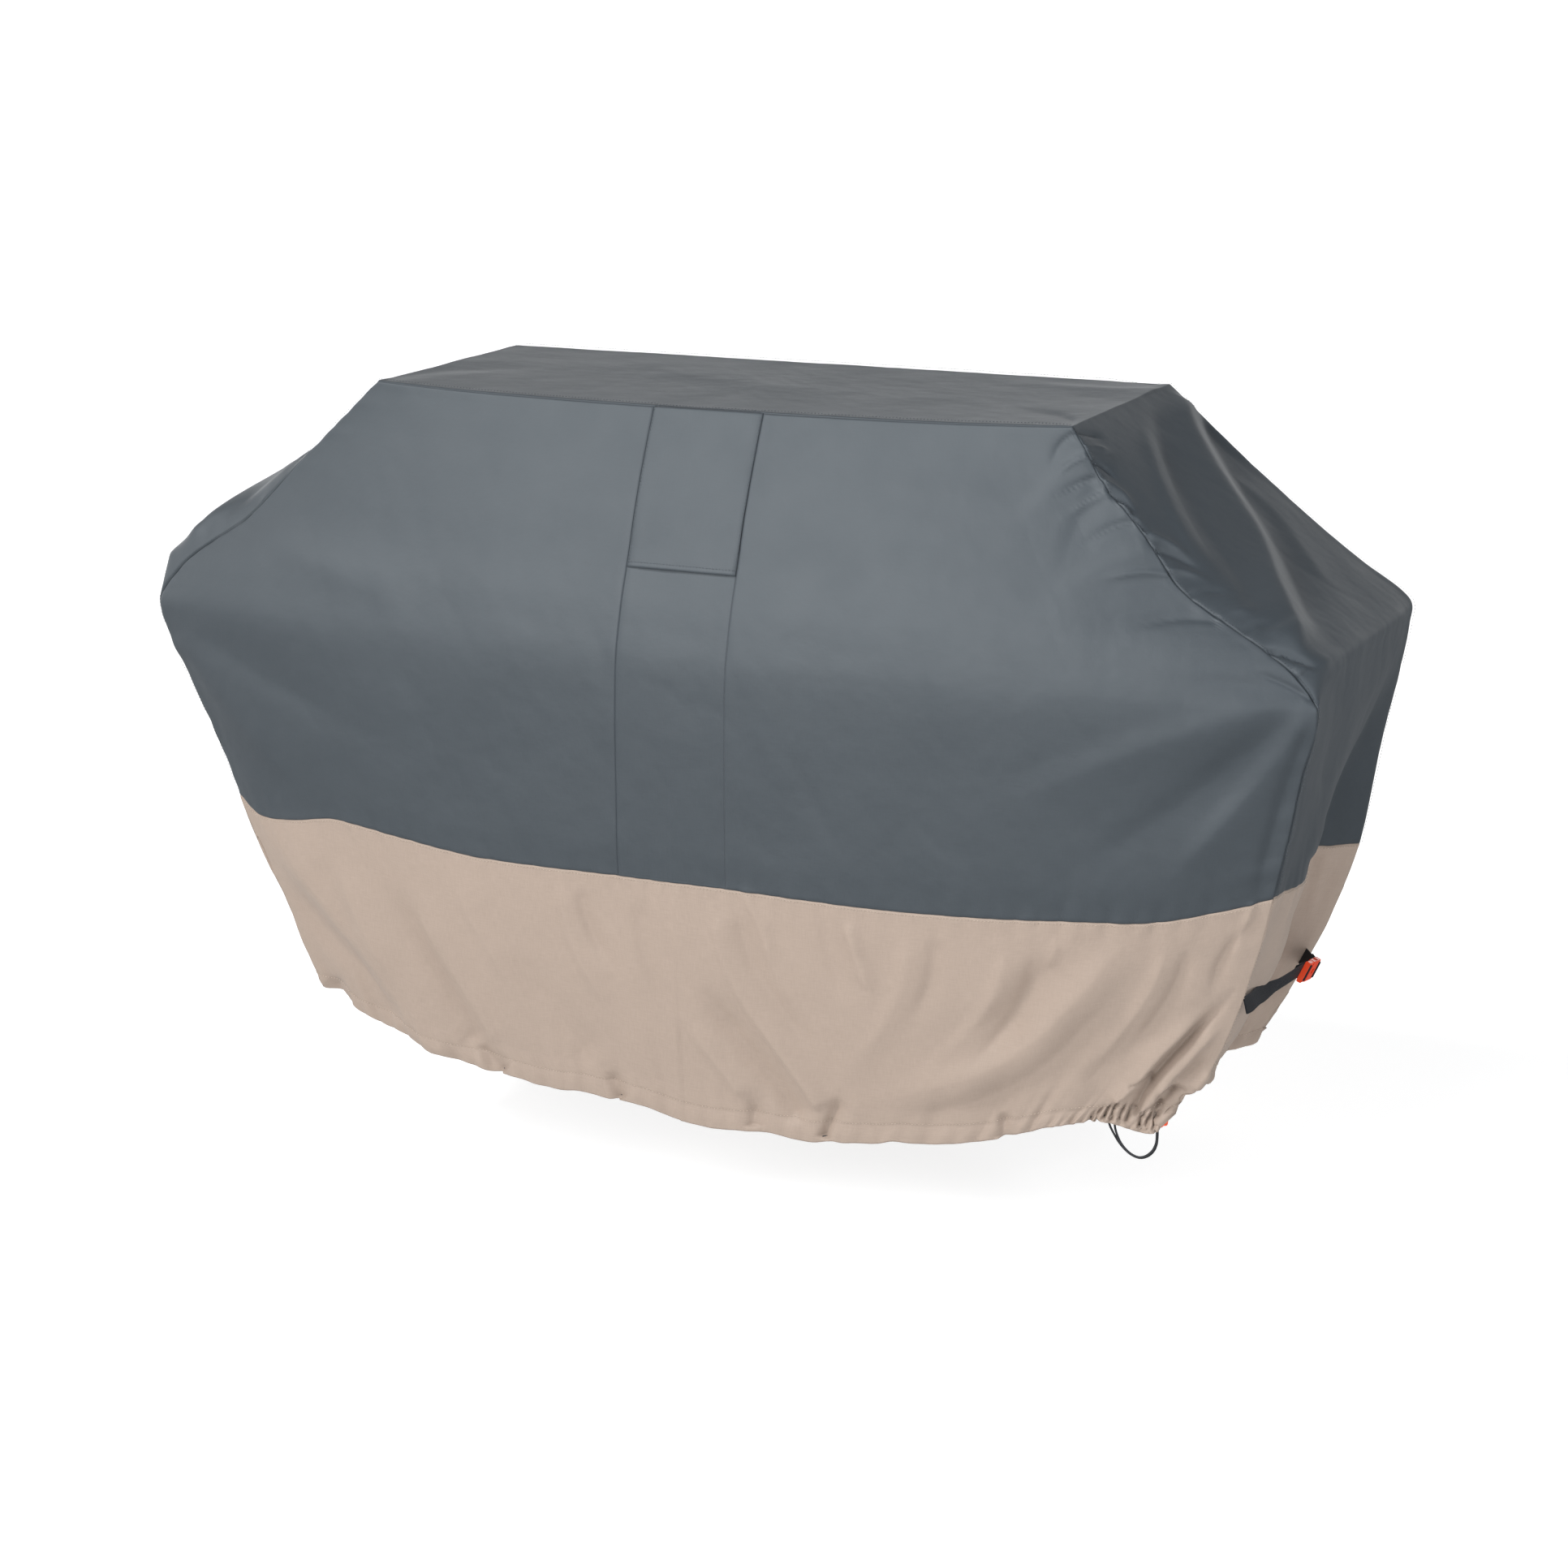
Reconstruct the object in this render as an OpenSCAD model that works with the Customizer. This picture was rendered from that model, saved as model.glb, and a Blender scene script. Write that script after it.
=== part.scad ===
// Fitted two-tone cover for a wide cart grill with side shelves.
// The origin is the centre of the inner face of the flat top: the face that
// lies on the closed lid. +X is to the right along the front, +Y goes to the
// back, +Z is up, so the whole cover hangs below its origin.

/* [Cover] */
// Length of the flat top
top_len = 1018; // [960:2:1080]
// Front to back depth of the flat top
top_depth = 416; // [390:2:440]
// Length over the side shelves, at the corner tips
shelf_len = 1706; // [1660:2:1760]
// Front to back depth at the shelf corners
shelf_depth = 500; // [480:2:520]
// Drop from the top to the soft fold over each shelf
fold_drop = 276; // [260:2:290]
// Drop from the top to the tips of the corner seams
tip_drop = 330; // [316:2:340]
// Drop from the top to the colour seam, at the front centre
band_drop = 630; // [610:2:650]
// Drop from the top to the hem, at the front centre
hem_drop = 985; // [970:1:1000]
// Length of the hem between its corners
hem_len = 1336; // [1310:2:1360]
// Front to back depth of the hem at its corners
hem_depth = 470; // [460:2:480]
// How far the front swells past the line of its corners
front_swell = 88; // [60:2:100]
// How far the back swells past the line of its corners
back_swell = 14; // [4:2:24]
// How far the drawcord pulls the left end in at the colour seam
left_tuck = 60; // [40:2:80]
// Thickness that stands for one lined cloth layer
cloth_t = 2; // [1.6:0.2:2.4]

/* [Vent strip] */
// Width of the strip down the middle of the front
strip_w = 160; // [140:2:180]

/* [Drawcord] */
// Cord diameter
cord_d = 3; // [2.6:0.2:3.2]
// Diameter of the cord lock's barrel
lock_d = 16; // [15:0.5:17]
// Length of the cord lock's barrel
lock_l = 20; // [19:0.5:22]

/* [Side straps] */
// Webbing width
web_w = 25; // [23:1:25]
// Webbing thickness
web_t = 1.4; // [1.2:0.1:1.8]
// Slope of the strap, down towards the back, in degrees
strap_tilt = 10.8; // [10:0.2:11.6]

/* [Hidden] */

grey = [0.36, 0.39, 0.42];
beige = [0.80, 0.72, 0.63];
black = [0.13, 0.14, 0.16];
orange = [0.93, 0.30, 0.12];
steel = [0.70, 0.70, 0.72];

// ---------------------------------------------------------------------
// The shape of the cover. The number t runs down it: 0 is the edge of the
// flat top, 1 the corner tips, 2 the colour seam and 3 the hem. The number
// o is how far a surface lies outside the inner face of the cloth.
// ---------------------------------------------------------------------
function mix(a, b, q) = a + (b - a) * q;
function part_of(t, k) = min(max(t - k, 0), 1);
function down(a, b, c, d, t) =
    t <= 1 ? mix(a, b, t) : t <= 2 ? mix(b, c, t - 1) : mix(c, d, t - 2);

corner_rise = 55;      // the colour seam is this much higher at its corners
hem_rise = 95;         // and the hem this much
side_hem_drop = 930;   // drop to the hem, at the middle of a side

// half length, half depth and height of the corner line
function ex(t, o) = down(top_len / 2, shelf_len / 2, 808, hem_len / 2, t)
    + 12 * sin(180 * part_of(t, 2)) + o;
function ey(t, o) = down(top_depth / 2, shelf_depth / 2, 248, hem_depth / 2, t)
    + o;
function ez(t, o) = down(0, -tip_drop, -band_drop + corner_rise,
    -hem_drop + hem_rise, t) + o * max(0, 1 - t);
// the middle of the front and of the back
function full(t) = down(0, 1, 1, 0.75, t > 1 ? t : 1 - pow(1 - t, 1.6));
function zm(t, o) = down(0, -tip_drop, -band_drop, -hem_drop, t)
    + o * max(0, 1 - t);
function swell(s) = 1 - pow(abs(s), 4);
function zpow(t) = 4 - 2 * part_of(t, 2);

// the left end is pulled in more than the right one
function tuck(t) = down(0, 0, left_tuck, left_tuck - 10, t);
function lean(p, t) = p[0] >= 0 ? p
    : [p[0] + tuck(t) * pow(p[0] / ex(t, 0), 2), p[1], p[2]];

// a point of the front face at length x, and of the back face
function front_pt(x, t, o) = let(s = x / ex(t, o)) lean(
    [x, -ey(t, o) - front_swell * full(t) * swell(s)
        - 8 * sin(180 * part_of(t, 2)) * swell(s),
     mix(zm(t, o), ez(t, o), pow(abs(s), zpow(t)))], t);
function back_pt(x, t, o) = let(s = x / ex(t, o)) lean(
    [x, ey(t, o) + back_swell * full(t) * swell(s),
     mix(zm(t, o), ez(t, o), pow(abs(s), zpow(t)))], t);
// a point of the right side at depth y, from the top edge to the hem
fold_x = shelf_len / 2 - 3;
function side_x(t, o) = t >= 1 ? ex(t, o)
    : t >= 0.9 ? mix(fold_x, shelf_len / 2, (t - 0.9) * 10) + o
    : mix(top_len / 2, fold_x, t / 0.9) + o;
function side_z(t, o) = t >= 2 ? mix(-band_drop + 20, -side_hem_drop, t - 2)
    : t >= 1 ? mix(-tip_drop, -band_drop + 20, t - 1)
    : t >= 0.9 ? mix(-fold_drop, -tip_drop, (t - 0.9) * 10) + o * (1 - t)
    : mix(0, -fold_drop, t / 0.9) + o * (1 - t);
function side_pt(k, t, o) = let(w = pow(abs(k), t < 1 ? 3 : 2))
    [mix(side_x(t, o) + 18 * pow(part_of(t, 2), 2), ex(t, o), w), k * ey(t, o),
     mix(side_z(t, o), ez(t, o), w)];
function left_pt(k, t, o) = let(p = side_pt(k, t, o))
    lean([-p[0], p[1], p[2]], t);

// ---------------------------------------------------------------------
// A closed slab between two grids of points, each a list of rows. The
// outer grid is seen from outside with its rows going down and its points
// going to the right.
// ---------------------------------------------------------------------
module slab(outer, inner) {
    r = len(outer);
    c = len(outer[0]);
    n = r * c;
    pts = concat([for (row = outer) for (p = row) p],
                 [for (row = inner) for (p = row) p]);
    skin = [for (i = [0:r - 2]) for (j = [0:c - 2])
        let(a = i * c + j, b = a + 1, d = a + c, e = d + 1)
        each [[a, b, e], [a, e, d],
              [n + a, n + e, n + b], [n + a, n + d, n + e]]];
    rim = [for (j = [0:c - 2]) each [
               [j, n + j + 1, j + 1], [j, n + j, n + j + 1],
               let(a = (r - 1) * c + j) [a, a + 1, n + a + 1],
               let(a = (r - 1) * c + j) [a, n + a + 1, n + a]]];
    ends = [for (i = [0:r - 2]) each [
               let(a = i * c) [a, a + c, n + a + c],
               let(a = i * c) [a, n + a + c, n + a],
               let(a = i * c + c - 1) [a, n + a + c, a + c],
               let(a = i * c + c - 1) [a, n + a, n + a + c]]];
    polyhedron(pts, concat(skin, rim, ends), convexity = 8);
}

// a closed tube through a list of points, with n sides
function unit(v) = v / norm(v);
module tube(pts, d, n = 8, closed = false, up = [0, 0, 1]) {
    m = len(pts);
    dirs = [for (i = [0:m - 1])
        unit(closed ? pts[(i + 1) % m] - pts[(i + m - 1) % m]
                    : pts[min(i + 1, m - 1)] - pts[max(i - 1, 0)])];
    ring = [for (i = [0:m - 1])
        let(x = unit(cross(up, dirs[i])), y = cross(dirs[i], x))
        for (k = [0:n - 1])
            pts[i] + d / 2 * (x * cos(360 * k / n) + y * sin(360 * k / n))];
    last = closed ? m - 1 : m - 2;
    walls = [for (i = [0:last]) for (k = [0:n - 1])
        let(a = i * n + k, b = i * n + (k + 1) % n,
            c = ((i + 1) % m) * n + k, e = ((i + 1) % m) * n + (k + 1) % n)
        each [[a, c, e], [a, e, b]]];
    caps = closed ? [] : [[for (k = [0:n - 1]) k],
                          [for (k = [n - 1:-1:0]) (m - 1) * n + k]];
    polyhedron(ring, concat(walls, caps), convexity = 10);
}

// a smooth line through hand-placed points, s steps between each two
function between(a, b, c, d, q) = 0.5 * ((2 * b) + (c - a) * q
    + (2 * a - 5 * b + 4 * c - d) * q * q
    + (3 * b - a - 3 * c + d) * q * q * q);
function smooth(p, s) = concat([for (i = [0:len(p) - 2]) for (k = [0:s - 1])
    between(p[max(i - 1, 0)], p[i], p[i + 1], p[min(i + 2, len(p) - 1)],
            k / s)], [p[len(p) - 1]]);

function span(a, b, n) = [for (i = [0:n]) mix(a, b, i / n)];

// ---------------------------------------------------------------------
// Cloth panels
// ---------------------------------------------------------------------
upper = [0, 0.225, 0.45, 0.675, 0.9, 1];
lower = span(1, 2, 3);
skirt = [2, 2.25, 2.5, 2.75, 2.915, 3];
across = [-1, -0.8, -0.5, 0, 0.5, 0.8, 1];
hw = strip_w / 2;

function right_of_strip(t) = [for (q = [0, 0.3, 0.6, 0.8, 0.92, 1]) q];
function grid_right(ts, o) = [for (t = ts)
    [for (q = right_of_strip(t)) front_pt(mix(hw, ex(t, o), q), t, o)]];
function grid_left(ts, o) = [for (t = ts) let(q = right_of_strip(t))
    [for (j = [len(q) - 1:-1:0])
        front_pt(-mix(hw, ex(t, o), q[j]), t, o)]];
panel_rows = concat(upper, [for (i = [1:3]) lower[i]]);

module front_panel_right() {
    color(grey) slab(grid_right(panel_rows, cloth_t),
                     grid_right(panel_rows, 0));
}
module front_panel_left() {
    color(grey) slab(grid_left(panel_rows, cloth_t),
                     grid_left(panel_rows, 0));
}

// the strip down the middle of the front, and the vent at its top
vent_rows = [0, 0.12, 0.22, 0.34, 0.45, 0.56, 0.64];
function strip_grid(ts, o) = [for (t = ts)
    [for (x = [-hw, -hw / 3, hw / 3, hw]) front_pt(x, t, o)]];
module vent_header() {
    color(grey) slab(strip_grid([0, 0.12, 0.22], cloth_t),
                     strip_grid([0, 0.12, 0.22], 0));
}
module vent_mesh() {
    color(black) slab(strip_grid([0.22, 0.34, 0.45, 0.56], 1),
                      strip_grid([0.22, 0.34, 0.45, 0.56], 0));
}
module centre_panel() {
    rows = concat([0.56, 0.64, 0.8, 1], [for (i = [1:3]) lower[i]]);
    color(grey) slab(strip_grid(rows, cloth_t), strip_grid(rows, 0));
}
module vent_flap() {
    color(grey) slab(strip_grid(vent_rows, cloth_t + 1.4),
                     strip_grid(vent_rows, cloth_t));
}

module back_panel() {
    qs = [-1, -0.9, -0.7, -0.35, 0, 0.35, 0.7, 0.9, 1];
    function g(o) = [for (t = panel_rows)
        [for (q = qs) let(p = back_pt(-q * ex(t, o), t, o)) p]];
    color(grey) slab(g(cloth_t), g(0));
}

// one strip goes up the left side, over the top and down the right side
module gusset_strip() {
    function right(ts, o) = [for (t = ts) [for (k = across)
        side_pt(k, t, o)]];
    function left(ts, o) = [for (t = ts) [for (k = across)
        left_pt(k, t, o)]];
    function rev(l) = [for (i = [len(l) - 1:-1:0]) l[i]];
    ts = panel_rows;
    function g(o) = rev(concat(left(rev(ts), o), right(ts, o)));
    color(grey) slab(g(cloth_t), g(0));
}

// the skirt, in the second colour; its points line up with the panels' above
function front_xs(t, o) = let(q = right_of_strip(t)) concat(
    [for (j = [len(q) - 1:-1:0]) -mix(hw, ex(t, o), q[j])],
    [-hw / 3, hw / 3],
    [for (j = [0:len(q) - 1]) mix(hw, ex(t, o), q[j])]);
function front_row(t, o) = [for (x = front_xs(t, o)) front_pt(x, t, o)];
module front_skirt() {
    function g(o) = [for (t = skirt) front_row(t, o)];
    color(beige) slab(g(cloth_t), g(0));
}
back_q = [-1, -0.9, -0.7, -0.35, 0, 0.35, 0.7, 0.9, 1];
module back_skirt() {
    function g(o) = [for (t = skirt)
        [for (q = back_q) back_pt(-q * ex(t, o), t, o)]];
    color(beige) slab(g(cloth_t), g(0));
}
module right_skirt() {
    function g(o) = [for (t = skirt) [for (k = across) side_pt(k, t, o)]];
    color(beige) slab(g(cloth_t), g(0));
}
module left_skirt() {
    function g(o) = [for (t = skirt)
        [for (k = across) left_pt(-k, t, o)]];
    color(beige) slab(g(cloth_t), g(0));
}

// ---------------------------------------------------------------------
// Bound seam allowances inside the front and back seams of the gusset
// ---------------------------------------------------------------------
bind_w = 12;
bind_t = 1.5;
module seam_binding(s) {
    ts = concat(span(0, 1, 6), [1.25, 1.5, 1.75, 1.97]);
    function line(sx, o, dy) = [for (t = ts)
        lean([sx * ex(t, o), s * (ey(t, o) - dy), ez(t, o)], t)];
    function rev(l) = [for (i = [len(l) - 1:-1:0]) l[i]];
    function all_of(o, dy) = concat(rev(line(-1, o, dy)), line(1, o, dy));
    a = all_of(0, 0.05);
    b = all_of(-bind_w, 0.05);
    c = all_of(-bind_w, bind_t);
    d = all_of(0, bind_t);
    m = len(a);
    pts = [for (i = [0:m - 1]) each [a[i], b[i], c[i], d[i]]];
    walls = [for (i = [0:m - 2]) for (k = [0:3])
        let(p = i * 4 + k, q = i * 4 + (k + 1) % 4, r = p + 4, e = q + 4)
        each (s < 0 ? [[p, e, r], [p, q, e]] : [[p, r, e], [p, e, q]])];
    e = (m - 1) * 4;
    caps = s < 0 ? [[0, 3, 2, 1], [e, e + 1, e + 2, e + 3]]
                 : [[0, 1, 2, 3], [e, e + 3, e + 2, e + 1]];
    polyhedron(pts, concat(walls, caps), convexity = 8);
}
module front_seam_binding() { color(black) seam_binding(-1); }
module back_seam_binding() { color(black) seam_binding(1); }

// ---------------------------------------------------------------------
// The hem: an inner return strip that makes a tunnel, and the cord in it
// ---------------------------------------------------------------------
// the hem's ring of points, counter-clockwise seen from above
function but_last(l) = [for (i = [0:len(l) - 2]) l[i]];
function hem_ring(t, o) = concat(
    but_last(front_row(t, o)),
    [for (k = but_last(across)) side_pt(k, t, o)],
    [for (q = but_last(back_q)) back_pt(-q * ex(t, o), t, o)],
    [for (k = but_last(across)) left_pt(-k, t, o)]);
casing_o = -7;
casing_t = 1.4;
casing_top = 3 - 0.085;
module hem_casing() {
    function low(r, z) = [for (p = r) p + [0, 0, z]];
    rings = [low(hem_ring(casing_top, casing_o), 0),
             low(hem_ring(3, casing_o), -casing_t),
             low(hem_ring(3, cloth_t), -casing_t),
             low(hem_ring(3, cloth_t), 0),
             low(hem_ring(3, casing_o + casing_t), 0),
             low(hem_ring(casing_top, casing_o + casing_t), -2),
             low(hem_ring(casing_top, 0), 3),
             low(hem_ring(casing_top, 0), 5)];
    m = len(rings[0]);
    n = len(rings);
    pts = [for (i = [0:m - 1]) for (k = [0:n - 1]) rings[k][i]];
    walls = [for (i = [0:m - 1]) for (k = [0:n - 1])
        let(a = i * n + k, b = i * n + (k + 1) % n,
            c = ((i + 1) % m) * n + k, e = ((i + 1) % m) * n + (k + 1) % n)
        each [[a, e, c], [a, b, e]]];
    color(beige) polyhedron(pts, walls, convexity = 10);
}
module hem_drawcord() {
    color(black) tube(hem_ring(2.988, -2.8), cord_d, 8, closed = true);
}

// ---------------------------------------------------------------------
// The free loop of the drawcord: two strands side by side. Each is sewn
// into the hem at its left end and goes up through the cord lock.
// ---------------------------------------------------------------------
lock_x = 661;
lock_y = -239;
lock_z = -905;
hem_face = -894.2;
outer_route = [[661, -237.1, -894.6], [661, -237.1, -906], [661, -237.1, -918],
    [661, -237.1, -930], [660, -237.1, -940], [656, -237.4, -950],
    [648, -238.2, -958], [638, -239.4, -961], [628, -241, -958],
    [619, -243, -951], [611, -245.5, -941], [605, -248, -930],
    [600.5, -250.5, -920], [598, -252.5, -911.5]];
inner_route = [[661, -240.9, -894.6], [661, -240.9, -906], [661, -240.9, -918],
    [661, -240.9, -930], [659.6, -240.9, -939], [655, -241.2, -948.5],
    [647, -242, -956], [638, -243.2, -958.6], [629, -244.8, -955.6],
    [621, -246.6, -949], [614.4, -248.6, -940], [610, -250.4, -930],
    [607.4, -252.2, -920], [606.4, -253.6, -909.8]];
module strand(route) {
    color(black) tube(smooth(route, 3), cord_d, 8, up = [0, 1, 0]);
}
module cord_strand_outer() { strand(outer_route); }
module cord_strand_inner() { strand(inner_route); }

// The cord lock: a barrel, a sprung plunger and the hole across both.
// Pressed in, the plunger's hole lines up with the barrel's.
press = 2.5;
hole_x = 7;
hole_y = 7.6;
plunger_d = 11.2;
bore_d = 11.5;
module lock_at() { translate([lock_x, lock_y, lock_z]) children(); }
module along_x() { rotate([0, 90, 0]) children(); }
module cord_lock_barrel() {
    color(orange) lock_at() difference() {
        translate([-12, 0, 0]) along_x() union() {
            translate([0, 0, 1]) cylinder(h = lock_l - 2, d = lock_d, $fn = 48);
            cylinder(h = lock_l, d = lock_d - 2, $fn = 48);
            translate([0, 0, 4]) cylinder(h = 2.4, d = lock_d + 1, $fn = 48);
            translate([0, 0, lock_l - 4])
                cylinder(h = 2.4, d = lock_d + 1, $fn = 48);
        }
        translate([-10.4, 0, 0]) along_x()
            cylinder(h = lock_l, d = bore_d, $fn = 48);
        translate([-3.5, -hole_y / 2, -12]) cube([hole_x, hole_y, 24]);
    }
}
module cord_lock_plunger() {
    color(orange) lock_at() difference() {
        union() {
            translate([-5.4, 0, 0]) along_x()
                cylinder(h = lock_l - 3, d = plunger_d, $fn = 48);
            translate([lock_l - 8.4, 0, 0]) along_x()
                cylinder(h = 1.6, d = plunger_d - 1.6, $fn = 48);
        }
        translate([-3.5 + press - 0.5, -hole_y / 2, -12])
            cube([hole_x, hole_y, 24]);
    }
}
module cord_lock_spring() {
    turns = 3;
    len_s = 4.4;
    color(steel) lock_at() translate([-10.1, 0, 0])
        tube([for (i = [0:48]) let(a = 360 * turns * i / 48)
              [len_s * i / 48, 3.4 * cos(a), 3.4 * sin(a)]], 0.6, 6,
             up = [1, 0, 0]);
}

// ---------------------------------------------------------------------
// Side straps, drawn for the right side. In the strap's own frame y runs
// along the strap to the back, z is its width and x its thickness, with
// the cloth on the side of -x.
// ---------------------------------------------------------------------
strap_x = 754;
strap_y = 146;
strap_z = -801;
strap_lean = 23;      // the strap lies on cloth that leans out by this much
strap_yaw = 1.2;
module strap_at() {
    translate([strap_x, strap_y, strap_z]) rotate([0, 0, strap_yaw])
        rotate([-strap_tilt, 0, 0]) rotate([0, strap_lean, 0]) children();
}
module on_left() {
    translate([left_tuck - 6.4, 0, 0]) mirror([1, 0, 0]) children();
}
// webbing seen on edge, along straight legs between [x, y] points
module legs(p) {
    linear_extrude(height = web_w, center = true)
        for (i = [0:len(p) - 2]) let(v = p[i + 1] - p[i])
            translate(p[i]) rotate([0, 0, atan2(v[1], v[0])])
                translate([-web_t / 2, -web_t / 2])
                    square([norm(v) + web_t, web_t]);
}
buckle_w = 33;
buckle_t = 9;
module rounded(x, y0, y1, z, r) {
    translate([0, y1, 0]) rotate([90, 0, 0]) linear_extrude(height = y1 - y0)
        offset(r = r, $fn = 24) square([x - 2 * r, z - 2 * r], center = true);
}
// from its stitched end, in at the plug's far slot, over the middle bar,
// and back under as a short tail
module front_webbing() {
    color(black) strap_at()
        legs([[-2.4, -353], [0.6, -325], [2.2, -275], [2.2, -195],
              [-4.7, -28], [-4.7, -17.2],
              [4.8, -17.2], [4.8, -9.6], [-6.4, -9.6], [-6.4, -62]]);
}
module rear_webbing() {
    color(black) strap_at()
        legs([[-31, 80], [-5.4, 45], [-5.4, 32.6], [5.4, 32.6], [5.4, 39],
              [-3.6, 47.2], [-14, 62.6]]);
}
module buckle_socket() {
    color(orange) strap_at() difference() {
        rounded(buckle_t, 0, 37, buckle_w, 2);
        // the mouth and the room inside
        translate([-2.9, -1, -13.4]) cube([5.8, 27.5, 26.8]);
        // the windows for the prongs' barbs
        translate([-2.9, 11.5, -20]) cube([5.8, 11.5, 40]);
        // the slot for the webbing
        translate([-6, 31, -13.2]) cube([12, 3.2, 26.4]);
        // an opening that shows the guide
        translate([0, 9, -4]) cube([8, 12, 8]);
    }
}
module buckle_plug() {
    color(orange) strap_at() union() {
        difference() {
            rounded(buckle_t - 1.5, -22, -0.6, buckle_w - 1, 2);
            translate([-6, -19, -13.2]) cube([12, 3.6, 26.4]);
            translate([-6, -11.6, -13.2]) cube([12, 4, 26.4]);
        }
        // the guide between the prongs
        translate([-1.9, -0.8, -2.4]) cube([3.8, 24, 4.8]);
    }
}
module prong() {
    color(orange) strap_at() translate([-2, 0, 0])
        rotate([90, 0, 90]) linear_extrude(height = 4)
            polygon([[0.3, 8.4], [18, 7.6], [21.6, 9.4], [20.6, 12],
                     [16.5, 15.6], [13.4, 16], [13, 12.6], [0.3, 12.4]]);
}
module prong_down() {
    color(orange) strap_at() translate([-2, 0, 0])
        rotate([90, 0, 90]) linear_extrude(height = 4)
            polygon([[0.3, -8.4], [0.3, -12.4], [13, -12.6], [13.4, -16],
                     [16.5, -15.6], [20.6, -12], [21.6, -9.4],
                     [18, -7.6]]);
}

module right_front_webbing() { front_webbing(); }
module right_rear_webbing() { rear_webbing(); }
module right_buckle_socket() { buckle_socket(); }
module right_buckle_plug() { buckle_plug(); }
module right_buckle_upper_prong() { prong(); }
module right_buckle_lower_prong() { prong_down(); }
module left_front_webbing() { on_left() front_webbing(); }
module left_rear_webbing() { on_left() rear_webbing(); }
module left_buckle_socket() { on_left() buckle_socket(); }
module left_buckle_plug() { on_left() buckle_plug(); }
module left_buckle_upper_prong() { on_left() prong(); }
module left_buckle_lower_prong() { on_left() prong_down(); }

gusset_strip();
front_panel_left();
front_panel_right();
centre_panel();
vent_header();
vent_mesh();
vent_flap();
back_panel();
front_skirt();
back_skirt();
left_skirt();
right_skirt();
front_seam_binding();
back_seam_binding();
hem_casing();
hem_drawcord();
cord_strand_outer();
cord_strand_inner();
cord_lock_barrel();
cord_lock_plunger();
cord_lock_spring();
right_front_webbing();
right_rear_webbing();
right_buckle_socket();
right_buckle_plug();
right_buckle_upper_prong();
right_buckle_lower_prong();
left_front_webbing();
left_rear_webbing();
left_buckle_socket();
left_buckle_plug();
left_buckle_upper_prong();
left_buckle_lower_prong();
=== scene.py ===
"""Fitted two-tone grill cover: the looks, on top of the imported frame.

Everything is in metres in the frame of the CAD: the origin is the centre of
the inner face of the flat top and -Z is down. The cloth is one continuous
surface, written as a grid over shared points. The number t runs down it: 0
is the edge of the flat top, 1 the corner tips, 2 the colour seam and 3 the
hem. Its folds are added to the surface, and then it is cut into the panels
that the real cover is sewn from.
"""
import math

import bmesh
import bpy
import numpy as np
from mathutils import Matrix, Vector


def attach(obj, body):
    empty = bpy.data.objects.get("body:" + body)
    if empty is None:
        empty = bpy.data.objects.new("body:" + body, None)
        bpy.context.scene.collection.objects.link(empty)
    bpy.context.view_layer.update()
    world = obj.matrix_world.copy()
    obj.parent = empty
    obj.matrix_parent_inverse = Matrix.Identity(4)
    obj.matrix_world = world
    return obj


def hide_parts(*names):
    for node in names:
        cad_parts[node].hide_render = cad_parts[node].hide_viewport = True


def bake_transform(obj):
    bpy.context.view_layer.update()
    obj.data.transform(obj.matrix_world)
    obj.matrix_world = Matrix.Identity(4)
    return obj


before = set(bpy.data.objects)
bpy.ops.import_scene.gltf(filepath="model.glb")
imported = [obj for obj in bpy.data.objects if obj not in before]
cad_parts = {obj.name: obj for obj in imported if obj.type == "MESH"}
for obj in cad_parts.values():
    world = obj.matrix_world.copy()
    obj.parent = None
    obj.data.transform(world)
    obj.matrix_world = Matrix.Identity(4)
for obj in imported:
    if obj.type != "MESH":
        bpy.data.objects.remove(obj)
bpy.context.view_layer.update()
FLOOR = -1.113

# ---------------------------------------------------------------- camera
CAM = np.array([1.8607, -4.1738, 1.7577 - 1.113])
YAW, PITCH, FPX = math.radians(23.82), math.radians(14.96), 4069.0
FWD = np.array([-math.sin(YAW) * math.cos(PITCH), math.cos(YAW) * math.cos(PITCH), -math.sin(PITCH)])
RGT = np.array([math.cos(YAW), math.sin(YAW), 0.0])
UPW = np.cross(RGT, FWD)


def project(p):
    d = p - CAM
    z = d @ FWD
    return np.stack([966 + FPX * (d @ RGT) / z, 966 - FPX * (d @ UPW) / z], -1)


# ------------------------------------------------------------- small maths
def mix(a, b, q):
    return a + (b - a) * q


def clamp(x, a=0.0, b=1.0):
    return np.minimum(np.maximum(x, a), b)


def smooth(x):
    x = clamp(x)
    return x * x * (3 - 2 * x)


def bump(d):
    return np.exp(-d * d)


def curve(rows, t):
    """Cubic Hermite through given rows (t, values...)."""
    rows = np.array(rows, float)
    k, v = rows[:, 0], rows[:, 1:]
    m = np.zeros_like(v)
    m[1:-1] = (v[2:] - v[:-2]) / (k[2:] - k[:-2])[:, None]
    m[0] = (v[1] - v[0]) / (k[1] - k[0])
    m[-1] = (v[-1] - v[-2]) / (k[-1] - k[-2])
    t = np.clip(np.asarray(t, float), k[0], k[-1])
    i = np.clip(np.searchsorted(k, t, side="right") - 1, 0, len(k) - 2)
    h = (k[i + 1] - k[i])
    q = (t - k[i]) / h
    q, h = q[..., None], h[..., None]
    a, b = v[i], v[i + 1]
    return ((2 * q**3 - 3 * q**2 + 1) * a + (q**3 - 2 * q**2 + q) * h * m[i]
            + (-2 * q**3 + 3 * q**2) * b + (q**3 - q**2) * h * m[i + 1])


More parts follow.
